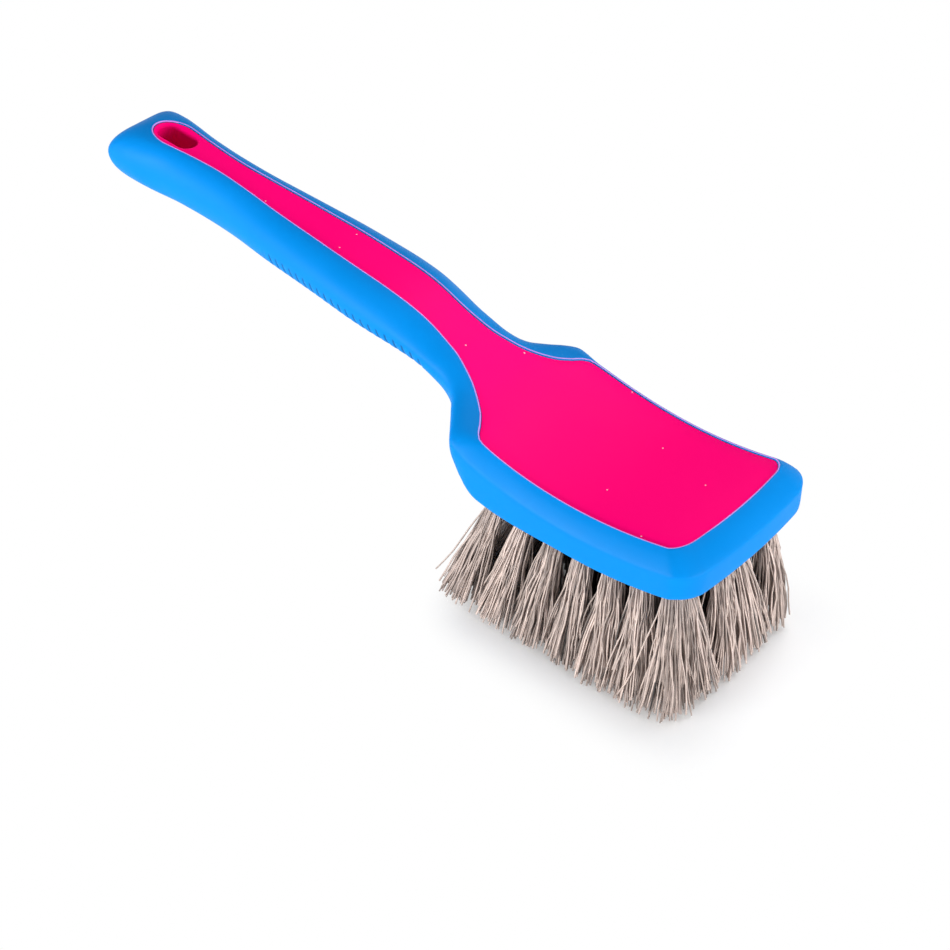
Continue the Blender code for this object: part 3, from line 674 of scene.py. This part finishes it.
def make_lip_highlight_line(sizes):
    """The pale edge: a thin bead along the sleeve's lip, a painted highlight where its rounded edge catches
    the light.
    """
    columns = []
    reach = sizes.lip_line_width / 2
    height = LIP_DROP + LIP_ROUND
    centres = panel_outline(CORE_COUNTS, LIP_WIDTH / 2)
    outsides = panel_outline(CORE_COUNTS, LIP_WIDTH / 2 + reach)
    for centre, outside in zip(centres, outsides):
        column = []
        for k in range(LIP_SIDES + 1):
            turn = math.tau * k / LIP_SIDES
            place = centre.lerp(outside, math.cos(turn))
            column.append(on_top(place, height * (1 - math.sin(turn))))
        columns.append(column)
    return half_skin("lip_highlight_line", columns)


def slot_solid(name, rings):
    """A closed upright solid of the hang slot's outline, through rings that are (wider by, lower by)."""
    middle_x = BUTT_X + SLOT_END_WALL + SLOT_LENGTH / 2
    straight = (SLOT_LENGTH - SLOT_WIDTH) / 2
    shape = bmesh.new()
    bmesh.ops.create_circle(shape, segments=SLOT_SIDES, radius=1)
    half_step = Matrix.Rotation(math.pi / SLOT_SIDES, 3, "Z")
    bmesh.ops.rotate(shape, verts=shape.verts, cent=(0, 0, 0), matrix=half_step)
    headings = [vert.co.copy() for vert in shape.verts]
    edges = list(shape.edges)
    verts = list(shape.verts)
    for k, (flare, drop) in enumerate(rings):
        if k:
            grown_parts = bmesh.ops.extrude_edge_only(shape, edges=edges)["geom"]
            old = dict(zip((tuple(vert.co) for vert in verts), headings))
            verts = [part for part in grown_parts if isinstance(part, bmesh.types.BMVert)]
            edges = [part for part in grown_parts if isinstance(part, bmesh.types.BMEdge)]
            headings = [old[tuple(vert.co)] for vert in verts]
        radius = SLOT_WIDTH / 2 + flare
        for vert, heading in zip(verts, headings):
            x = middle_x + math.copysign(straight, heading.x) + radius * heading.x
            vert.co = (x, radius * heading.y, top_z(x) - PANEL_RECESS - drop)
    bmesh.ops.holes_fill(shape, edges=shape.edges, sides=0)
    bmesh.ops.recalc_face_normals(shape, faces=shape.faces)
    return new_piece(name, shape)


def flared_slot():
    rings = [(SLOT_FLARE, -CUT_OVERRUN)]
    for turn in quarter(FLARE_STEPS):
        rings.append((SLOT_FLARE * (1 - math.sin(turn)), SLOT_FLARE * (1 - math.cos(turn))))
    rings.append((0, HANDLE_DEPTH + CUT_OVERRUN))
    return slot_solid("hang_slot", rings)


def tuft_places():
    """Each tuft's root, tip and bulge, and whether it is an outer one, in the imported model's order."""
    half_x = (LONG_ROW_TUFTS - 1) / 2 * TUFT_PITCH
    half_y = (ROWS - 1) / 2 * ROW_PITCH
    for row in range(ROWS):
        y = row * ROW_PITCH - half_y
        count = LONG_ROW_TUFTS - row % 2
        row_half = (count - 1) / 2
        for k in range(count):
            x = (k - row_half) * TUFT_PITCH
            root = Vector((x, y, top_z(x) - CORE_DEPTH - FIT_GAP - PLATE_THICKNESS))
            # The tips of each row spread evenly to the same ends
            place = k / row_half - 1
            pull = 1 - CORNER_PULL_SHARE * (max(place, 0) * y / half_y) ** 2
            splay = (TOE_SPLAY if x > 0 else HEEL_SPLAY) * pull
            outer = row in (0, ROWS - 1) or k in (0, count - 1)
            tip = Vector((place * (half_x + splay), y + SIDE_SPLAY * pull * y / half_y, 0))
            bulge = Vector((1, y / half_y, 0)) * TOE_BULGE * max(place, 0) ** 2
            yield root, tip, bulge, outer


def make_strand_pattern():
    """One straight strand of unit size, which every strand copies."""
    shape = bmesh.new()
    bmesh.ops.create_cone(shape, cap_ends=True, segments=STRAND_SIDES, radius1=1, radius2=1, depth=1)
    upright = [edge for edge in shape.edges if abs(edge.verts[0].co.z - edge.verts[1].co.z) > 0.5]
    bmesh.ops.subdivide_edges(shape, edges=upright, cuts=STRAND_STEPS - 1, use_grid_fill=True)
    mesh = bpy.data.meshes.new("strand_pattern")
    shape.to_mesh(mesh)
    shape.free()
    return mesh


def add_strand(shape, pattern, path, across, radius, shade, painted_root_shade_shares):
    """Bends a copy of the pattern along a path, which gives a point for each share of its length."""
    layer = shape.verts.layers.float["strand_tone_and_painted_shade"]
    first = len(shape.verts)
    shape.from_mesh(pattern)
    shape.verts.ensure_lookup_table()
    side, other = across
    painted_root_shade, light_share = painted_root_shade_shares
    for vert in shape.verts[first:]:
        share = vert.co.z + 0.5
        # Painted shade: the strand darkens towards its root, and an inner tuft's strands along their whole
        # length
        vert[layer] = shade * mix(painted_root_shade, 1, ease(share / light_share))
        vert.co = path(share) + (side * vert.co.x + other * vert.co.y) * radius


def make_tuft(name, line, painted_root_shade_shares, pattern, sizes, chance):
    """A tuft of separate wavy strands, which stand in the plate's hole and fan out to uneven tips."""
    shape = bmesh.new()
    # Each strand's own tone, together with the painted shade towards its root
    shape.verts.layers.float.new("strand_tone_and_painted_shade")
    root, tip, bulge = line
    down = (tip - root).normalized()
    low, high = Vector(CAD_BOX[0]), Vector(CAD_BOX[1])
    tone = chance.uniform(-TUFT_TONE, TUFT_TONE)
    away = Vector((tip.x, tip.y, 0)).normalized()
    for k in range(sizes.strands):
        ring = math.sqrt((k + 0.5) / sizes.strands)
        heading = GOLDEN_TURN * k + chance.gauss(0, HEADING_SCATTER)
        outward = Vector((math.cos(heading), math.sin(heading), 0))
        radius = sizes.thickness / 2 * chance.uniform(*THICKNESS_SHARES)
        start = root + outward * (ROOT_RADIUS - radius) * ring - down * ROOT_SINK
        # Tufts fan out wider towards their neighbours than outwards, so that their tips close up
        fan = SIDEWAYS_REACH_SHARE - OUTWARD_LOSS_SHARE * max(outward.dot(away), 0)
        reach = sizes.spread * ring * chance.uniform(*REACH_SHARES) * fan
        if chance.random() < STRAY_CHANCE_SHARE:
            reach *= chance.uniform(*STRAY_REACH_SHARES)
        end = tip + outward * reach
        end += Vector((chance.gauss(0, sizes.wave), chance.gauss(0, sizes.wave), 0))
        end.z = radius + abs(chance.gauss(0, sizes.uneven))
        for axis in (0, 1):
            inset = radius + STRAY_INSET * chance.uniform(*INSET_SHARES)
            end[axis] = min(max(end[axis], low[axis] + inset), high[axis] - inset)
        span = (end - start).length
        middle = start + down * span * BEND_PLACE_SHARE
        middle = middle.lerp(start.lerp(end, BEND_PLACE_SHARE), BEND_STRAIGHT_SHARE) + bulge
        sway = Vector((chance.gauss(0, 1), chance.gauss(0, 1), 0)).normalized()
        wave = sizes.wave * chance.uniform(*WAVE_SHARES)
        turns, phase = chance.uniform(*WAVE_TURNS), chance.random()

        def path(share):
            bend = start * (1 - share) ** 2 + middle * 2 * share * (1 - share) + end * share ** 2
            # No wave at the root, the whole of it from a third of the length, and less near the tip
            grip = ease(share * 3) * (1 - TIP_CALM_SHARE * share ** 6)
            return bend + sway * wave * grip * math.sin(math.tau * (turns * share + phase))

        run = (end - middle).normalized()
        side = run.orthogonal().normalized()
        side.rotate(Matrix.Rotation(chance.uniform(0, math.pi), 3, run))
        shade = min(max(0.5 + tone + chance.gauss(0, STRAND_TONE_SCATTER), 0), 1)
        add_strand(shape, pattern, path, (side, run.cross(side)), radius, shade, painted_root_shade_shares)
    bmesh.ops.recalc_face_normals(shape, faces=shape.faces)
    made = new_piece(name, shape)
    made.data.shade_smooth()
    return made


def feed(tree, made, inputs):
    """Gives each of a node's named inputs a value or a link."""
    for name, value in inputs.items():
        if isinstance(value, bpy.types.NodeSocket):
            tree.links.new(value, made.inputs[name])
        else:
            made.inputs[name].default_value = value


def node(tree, kind, inputs=None, **settings):
    """Adds a shader node with its options and inputs."""
    made = tree.nodes.new(kind)
    for name, value in settings.items():
        setattr(made, name, value)
    feed(tree, made, inputs or {})
    return made


def maths(tree, operation, *values):
    return node(tree, "ShaderNodeMath", dict(enumerate(values)), operation=operation).outputs[0]


def product(tree, *factors):
    """Multiplies sockets and numbers."""
    made = factors[0]
    for factor in factors[1:]:
        made = maths(tree, "MULTIPLY", made, factor)
    return made


def vectors(tree, operation, *values):
    return node(tree, "ShaderNodeVectorMath", dict(enumerate(values)), operation=operation).outputs["Vector"]


def ranged(tree, value, start, end, low=0, high=1, **settings):
    """Runs from low to high while the value runs from start to end."""
    inputs = {"Value": value, "From Min": start, "From Max": end, "To Min": low, "To Max": high}
    return node(tree, "ShaderNodeMapRange", inputs, **settings).outputs["Result"]


def mixed(tree, share, first, second):
    """Runs from one colour to another."""
    return node(tree, "ShaderNodeMix", {0: share, 6: first, 7: second}, data_type="RGBA").outputs[2]


def per_metre(millimetres):
    """A texture's scale that gives features of about this size."""
    return 1000 / millimetres


def noise(tree, place, millimetres, detail):
    inputs = {"Vector": place, "Scale": per_metre(millimetres), "Detail": detail}
    return node(tree, "ShaderNodeTexNoise", inputs).outputs["Fac"]


def shades_of(colour, share):
    """The colour a share darker and a share lighter, for a texture to run between."""
    return [(*(min(part * factor, 1) for part in colour), 1) for factor in (1 - share, 1 + share)]


def darkened(colour, share):
    """The colour with this share of its light."""
    return (*(part * share for part in colour), 1)


def clouded(tree, place, cloud, colour):
    """A cloudy texture, and the colour in the shades that follow it."""
    millimetres, detail, share = cloud
    made = noise(tree, place, millimetres, detail)
    return made, mixed(tree, made, *shades_of(colour, share))


def relief(tree, place, texture, under=None):
    """The normals of a textured surface, over those of a coarser texture if there is one."""
    millimetres, detail, strength, depth = texture
    inputs = {"Height": noise(tree, place, millimetres, detail), "Strength": strength, "Distance": depth}
    if under is not None:
        inputs["Normal"] = under
    return node(tree, "ShaderNodeBump", inputs).outputs["Normal"]


def blank_material(name):
    made = bpy.data.materials.new(name)
    made.use_nodes = True
    return made, made.node_tree, made.node_tree.nodes["Principled BSDF"]


def painted_groove_shade(tree, coordinates, sizes):
    """1 in the grooves between the grip ribs, where the shade is painted, and 0 elsewhere."""
    x = node(tree, "ShaderNodeSeparateXYZ", {0: coordinates.outputs["Object"]}).outputs["X"]
    up = node(tree, "ShaderNodeSeparateXYZ", {0: coordinates.outputs["Normal"]}).outputs["Z"]
    wave = maths(tree, "COSINE", product(tree, x, math.tau / sizes.rib_pitch))
    return product(
        tree,
        ranged(tree, wave, *GROOVE_WAVE),
        ranged(tree, up, *GROOVE_TOP_SLOPE),
        ranged(tree, up, *GROOVE_FOOT_SLOPE),
        ranged(tree, x, sizes.rib_start, sizes.rib_start + sizes.rib_pitch),
        ranged(tree, x, sizes.rib_end, sizes.rib_end - sizes.rib_pitch),
    )


def soft_rubber(colour, sizes):
    """Thermoplastic rubber, moulded over the core in a fine satin texture: an even, slightly cloudy blue."""
    made, tree, shader = blank_material("moulded_tpr_rubber")
    coordinates = node(tree, "ShaderNodeTexCoord")
    place = coordinates.outputs["Object"]
    cloud, tint = clouded(tree, place, RUBBER_CLOUD, colour)
    # Painted shade darkens the blue in the grooves between the grip ribs
    shade = product(tree, painted_groove_shade(tree, coordinates, sizes), PAINTED_GROOVE_SHADE_SHARE)
    feed(tree, shader, {
        "Base Color": mixed(tree, shade, tint, darkened(colour, PAINTED_GROOVE_DEEP_SHARE)),
        "Roughness": ranged(tree, cloud, *CLOUD_RANGE, *RUBBER_ROUGHNESS),
        "Normal": relief(tree, place, RUBBER_GRAIN, relief(tree, place, RUBBER_SWELL)),
        "IOR": 1.47,
        "Specular IOR Level": 0.06,
    })
    return made


def polypropylene(colour):
    """Polypropylene, moulded in a plain satin mould: a strong even pink with a few specks of dust.

    It has painted shade, darker where it turns down into the slot and the groove by the lip, where little
    light gets in.
    """
    made, tree, shader = blank_material("moulded_polypropylene")
    coordinates = node(tree, "ShaderNodeTexCoord")
    place = coordinates.outputs["Object"]
    cloud, tint = clouded(tree, place, CORE_CLOUD, colour)
    cells = node(
        tree, "ShaderNodeTexVoronoi", {"Vector": place, "Scale": per_metre(SPECK_CELL_MM), "Randomness": 1},
        voronoi_dimensions="2D",
    )
    cell = node(tree, "ShaderNodeSeparateColor", {"Color": cells.outputs["Color"]})
    near = maths(tree, "LESS_THAN", cells.outputs["Distance"], SPECK_RADIUS_SHARE)
    chosen = maths(tree, "LESS_THAN", cell.outputs["Red"], SPECKED_SHARE)
    specked = mixed(tree, product(tree, near, chosen, DUST_SHARE), tint, (*linear(DUST_HEX), 1))
    # Painted shade where the surface turns down, away from the light
    up = node(tree, "ShaderNodeSeparateXYZ", {0: coordinates.outputs["Normal"]}).outputs["Z"]
    core_painted_shade = ranged(tree, up, *CORE_PAINTED_SHADE_SLOPE, 0, CORE_PAINTED_SHADE_SHARE)
    feed(tree, shader, {
        "Base Color": mixed(tree, core_painted_shade, specked, darkened(colour, CORE_PAINTED_DEEP_SHARE)),
        "Roughness": ranged(tree, cloud, *CLOUD_RANGE, *CORE_ROUGHNESS),
        "Normal": relief(tree, place, CORE_GRAIN),
        "IOR": 1.49,
        "Specular IOR Level": 0.02,
    })
    return made


def painted_lip_highlight(colour):
    """The pale edge on the sleeve's lip: a painted highlight, where the rounded edge of the rubber catches
    the light.
    """
    made, tree, shader = blank_material("tpr_edge_painted_highlight")
    place = node(tree, "ShaderNodeTexCoord").outputs["Object"]
    feed(tree, shader, {
        "Base Color": clouded(tree, place, LIP_CLOUD, colour)[1],
        "Normal": relief(tree, place, LIP_GRAIN),
        "Roughness": 0.35,
    })
    return made


def bristle_filament(colour):
    """Drawn and crimped plastic filament: dry grey-beige strands, each a little lighter or darker, with
    painted shade towards their roots.
    """
    made, tree, shader = blank_material("drawn_bristle_filament")
    shade = node(tree, "ShaderNodeAttribute", attribute_name="strand_tone_and_painted_shade")
    tones = node(tree, "ShaderNodeValToRGB", {"Fac": shade.outputs["Fac"]})
    stops = tones.color_ramp.elements
    dark, light = shades_of(colour, STRAND_SHADE_SHARE)
    stops[0].color = shades_of(colour, DEEPEST_PAINTED_SHADE_SHARE)[0]
    stops[1].color = light
    for at, tone in zip(STRAND_STOPS, (dark, (*colour, 1))):
        stops.new(at).color = tone
    place = node(tree, "ShaderNodeTexCoord").outputs["Object"]
    faded = ranged(tree, noise(tree, place, STREAK_MM, 2), *SCUFF_RANGE, *STREAK_SHARES)
    tint = node(
        tree, "ShaderNodeVectorMath", {0: tones.outputs["Color"], "Scale": faded}, operation="SCALE",
    )
    feed(tree, shader, {"Base Color": tint.outputs[0], "Roughness": 0.42, "IOR": 1.5})
    return made


def plate_plastic(colour):
    """Filled polypropylene of the bristle plate: dull black with a coarse drilled look."""
    made, tree, shader = blank_material("filled_black_polypropylene")
    place = node(tree, "ShaderNodeTexCoord").outputs["Object"]
    feed(tree, shader, {
        "Base Color": clouded(tree, place, PLATE_CLOUD, colour)[1],
        "Normal": relief(tree, place, PLATE_GRAIN),
        "Roughness": 0.5,
        "IOR": 1.5,
    })
    return made


def zinc_steel(colour):
    """Zinc-plated steel, drawn and cold headed: a pale metal with fine scuffs in its gloss."""
    made, tree, shader = blank_material("zinc_plated_steel")
    place = node(tree, "ShaderNodeTexCoord").outputs["Object"]
    scuff, tint = clouded(tree, place, ZINC_CLOUD, colour)
    worn = ranged(tree, scuff, *SCUFF_RANGE, *ZINC_ROUGHNESS)
    feed(tree, shader, {"Base Color": tint, "Roughness": worn, "Metallic": 1})
    return made


def studio_paper():
    """Matt white background paper. It keeps the shadow by the bristles and is plain white further out."""
    made, tree, shader = blank_material("white_background_paper")
    place = node(tree, "ShaderNodeTexCoord").outputs["Object"]
    dark, light = ((*linear(code), 1) for code in PAPER_HEXES)
    fibre = mixed(tree, noise(tree, place, FIBRE_MM, 2), dark, light)
    feed(tree, shader, {"Base Color": fibre, "Roughness": 0.9, "Specular IOR Level": 0.1})
    # How far a point lies outside a rectangle between the bristle tips
    mirrored = vectors(tree, "ABSOLUTE", vectors(tree, "SUBTRACT", place, (SHADOW_MIDDLE_X, 0, 0)))
    beyond = vectors(tree, "SUBTRACT", mirrored, (SHADOW_LENGTH / 2, SHADOW_WIDTH / 2, 0))
    outside = vectors(tree, "MAXIMUM", beyond, (0, 0, 0))
    distance = node(tree, "ShaderNodeVectorMath", {0: outside}, operation="LENGTH").outputs["Value"]
    clear = ranged(tree, distance, 0, SHADOW_REACH, UNDER_WHITE_SHARE, interpolation_type="SMOOTHSTEP")
    rays = node(tree, "ShaderNodeLightPath").outputs
    gloss = maths(tree, "MAXIMUM", rays["Is Glossy Ray"], rays["Is Transmission Ray"])
    seen = maths(tree, "MAXIMUM", rays["Is Camera Ray"], gloss)
    white = node(tree, "ShaderNodeEmission", {"Color": (1, 1, 1, 1), "Strength": 1})
    blend = node(
        tree, "ShaderNodeMixShader",
        {0: product(tree, seen, clear), 1: shader.outputs["BSDF"], 2: white.outputs["Emission"]},
    )
    tree.links.new(blend.outputs["Shader"], tree.nodes["Material Output"].inputs["Surface"])
    return made


def make_cove():
    """The paper: a round floor that curves up into a wall."""
    shape = bmesh.new()
    floor_radius = COVE_RADIUS - COVE_ROUND
    places = [Vector((0, 0, 0)), Vector((floor_radius, 0, 0))]
    for turn in quarter(FLARE_STEPS)[1:]:
        reach = floor_radius + COVE_ROUND * math.sin(turn)
        places.append(Vector((reach, 0, COVE_ROUND * (1 - math.cos(turn)))))
    places.append(Vector((COVE_RADIUS, 0, COVE_HEIGHT)))
    verts = [shape.verts.new(place) for place in places]
    edges = [shape.edges.new(pair) for pair in zip(verts, verts[1:])]
    bmesh.ops.spin(
        shape, geom=[*verts, *edges], cent=(0, 0, 0), axis=(0, 0, 1), angle=math.tau,
        steps=COVE_SPIN_STEPS, use_merge=True,
    )
    bmesh.ops.remove_doubles(shape, verts=shape.verts, dist=MERGE)
    bmesh.ops.recalc_face_normals(shape, faces=shape.faces)
    if sum(face.normal.z for face in shape.faces) < 0:
        bmesh.ops.reverse_faces(shape, faces=shape.faces)
    cove = new_piece("paper_cove", shape)
    cove.data.shade_smooth()
    cove.data.materials.append(studio_paper())
    return cove


def make_lamps():
    for name, place, aim, size, power in LAMPS:
        lamp = bpy.data.lights.new(name, "AREA")
        lamp.shape, lamp.energy = "RECTANGLE", power
        lamp.size, lamp.size_y = size
        made = bpy.data.objects.new(name, lamp)
        made.location = place
        made.rotation_euler = (Vector(aim) - Vector(place)).to_track_quat("-Z", "Y").to_euler()
        bpy.context.scene.collection.objects.link(made)


def make_world():
    """An even white light, which gloss shows as a dark room."""
    world = bpy.data.worlds.new("plain_studio")
    world.use_nodes = True
    tree = world.node_tree
    glossy = node(tree, "ShaderNodeLightPath").outputs["Is Glossy Ray"]
    strength = ranged(tree, glossy, 0, 1, WORLD_STRENGTH, WORLD_GLOSS)
    feed(tree, tree.nodes["Background"], {"Color": (1, 1, 1, 1), "Strength": strength})
    return world


def make_camera():
    lens = bpy.data.cameras.new("photo_camera")
    lens.lens = CAMERA_LENS_MM
    camera = bpy.data.objects.new("photo_camera", lens)
    camera.location = CAMERA_PLACE
    camera.rotation_euler = (math.radians(CAMERA_PITCH_DEGREES), 0, math.radians(CAMERA_TURN_DEGREES))
    bpy.context.scene.collection.objects.link(camera)
    return camera


def dress(piece, surface, nodes):
    """Puts a finished piece on the brush's one body, in the place of its CAD nodes."""
    piece.data.materials.clear()
    piece.data.materials.append(surface)
    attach(piece, "root")
    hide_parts(*nodes)


class TIREBRUSH_OT_sleeve(bpy.types.Operator):
    """Build the soft sleeve with its grip ribs, and the pale edge of its lip, which is a painted highlight"""

    bl_idname = "tire_brush.sleeve"
    bl_label = "Soft sleeve"
    bl_options = {"REGISTER", "UNDO"}

    def execute(self, context):
        sizes, colours = context.scene.tire_brush_body, context.scene.tire_brush_finishes
        sleeve = make_sleeve_skin(sizes)
        combined(sleeve, make_plate_pocket(), "DIFFERENCE")
        tube = [(SLOT_TUBE_WALL + SLAB_GAP, drop) for drop in (-CUT_OVERRUN, HANDLE_DEPTH - SKIN)]
        combined(sleeve, slot_solid("tube_room", tube), "DIFFERENCE")
        combined(sleeve, slot_solid("slot_room", [(0, 0), (0, HANDLE_DEPTH + CUT_OVERRUN)]), "DIFFERENCE")
        shaded(sleeve)
        dress(sleeve, soft_rubber(colours.sleeve, sizes), ["grip_overmould"])
        lip = make_lip_highlight_line(sizes)
        shaded(lip)
        dress(lip, painted_lip_highlight(colours.lip), ["grip_overmould"])
        return {"FINISHED"}


class TIREBRUSH_OT_core(bpy.types.Operator):
    """Build the pink panel and the hang slot that runs down through the handle"""

    bl_idname = "tire_brush.core"
    bl_label = "Handle core"
    bl_options = {"REGISTER", "UNDO"}

    def execute(self, context):
        core = make_slab()
        rings = [(SLOT_TUBE_WALL, drop) for drop in (SLOT_TUBE_DROP, HANDLE_DEPTH - SKIN - SLAB_GAP)]
        combined(core, slot_solid("slot_tube", rings), "UNION")
        combined(core, flared_slot(), "DIFFERENCE")
        shaded(core)
        colours = context.scene.tire_brush_finishes
        dress(core, polypropylene(colours.core), ["handle_core"])
        return {"FINISHED"}


class TIREBRUSH_OT_plate(bpy.types.Operator):
    """Give the bristle plate and its screws their materials"""

    bl_idname = "tire_brush.plate"
    bl_label = "Bristle plate and screws"
    bl_options = {"REGISTER", "UNDO"}

    def execute(self, context):
        colours = context.scene.tire_brush_finishes
        black, zinc = plate_plastic(colours.plate), zinc_steel(colours.screw)
        for name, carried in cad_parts.items():
            if name == "bristle_plate" or name.startswith("plate_screw"):
                for place in carried.material_slots:
                    place.material = black if name == "bristle_plate" else zinc
        return {"FINISHED"}


class TIREBRUSH_OT_tufts(bpy.types.Operator):
    """Build every tuft from separate wavy strands"""

    bl_idname = "tire_brush.tufts"
    bl_label = "Bristle tufts"
    bl_options = {"REGISTER", "UNDO"}

    def execute(self, context):
        sizes = context.scene.tire_brush_bristles
        surface = bristle_filament(context.scene.tire_brush_finishes.strand)
        pattern = make_strand_pattern()
        for k, (root, tip, bulge, outer) in enumerate(tuft_places(), 1):
            # Outer tufts get less painted shade at their roots than inner ones
            painted_root_shade_shares = OUTER_PAINTED_ROOT_SHADE if outer else INNER_PAINTED_ROOT_SHADE
            line = (root, tip, bulge)
            tuft = make_tuft(f"strands_{k:02d}", line, painted_root_shade_shares, pattern, sizes, random.Random(k))
            dress(tuft, surface, [f"tuft_{k:02d}"])
        bpy.data.meshes.remove(pattern)
        return {"FINISHED"}


class TIREBRUSH_OT_stage(bpy.types.Operator):
    """Build the paper cove, the lamps, the world and the camera"""

    bl_idname = "tire_brush.stage"
    bl_label = "Studio and camera"
    bl_options = {"REGISTER", "UNDO"}

    def execute(self, context):
        cove = make_cove()
        make_lamps()
        scene = context.scene
        scene.world = make_world()
        scene.camera = make_camera()
        scene.view_settings.view_transform = "Standard"
        return {"FINISHED"}


class TIREBRUSH_PT_panel(bpy.types.Panel):
    """Lists the brush's sizes, colours and building steps"""

    bl_idname = "TIREBRUSH_PT_panel"
    bl_label = "Tire Brush"
    bl_space_type = "VIEW_3D"
    bl_region_type = "UI"
    bl_category = "Tire Brush"

    def draw(self, context):
        scene = context.scene
        for group in (scene.tire_brush_body, scene.tire_brush_bristles, scene.tire_brush_finishes):
            column = self.layout.column(align=True)
            for name in group.__annotations__:
                column.prop(group, name)
        for step in STEPS:
            self.layout.operator(step.bl_idname)


GROUPS = {"tire_brush_body": BodySizes, "tire_brush_bristles": BristleSizes, "tire_brush_finishes": Finishes}
STEPS = (
    TIREBRUSH_OT_sleeve, TIREBRUSH_OT_core, TIREBRUSH_OT_plate, TIREBRUSH_OT_tufts, TIREBRUSH_OT_stage,
)


def register():
    for group in (*GROUPS.values(), *STEPS, TIREBRUSH_PT_panel):
        bpy.utils.register_class(group)
    for name, group in GROUPS.items():
        setattr(bpy.types.Scene, name, PointerProperty(type=group))


def unregister():
    for name in GROUPS:
        delattr(bpy.types.Scene, name)
    for group in (TIREBRUSH_PT_panel, *reversed(STEPS), *reversed(GROUPS.values())):
        bpy.utils.unregister_class(group)


def main():
    register()
    bpy.ops.tire_brush.sleeve()
    bpy.ops.tire_brush.core()
    bpy.ops.tire_brush.plate()
    bpy.ops.tire_brush.tufts()
    bpy.ops.tire_brush.stage()


if __name__ == "__main__":
    main()
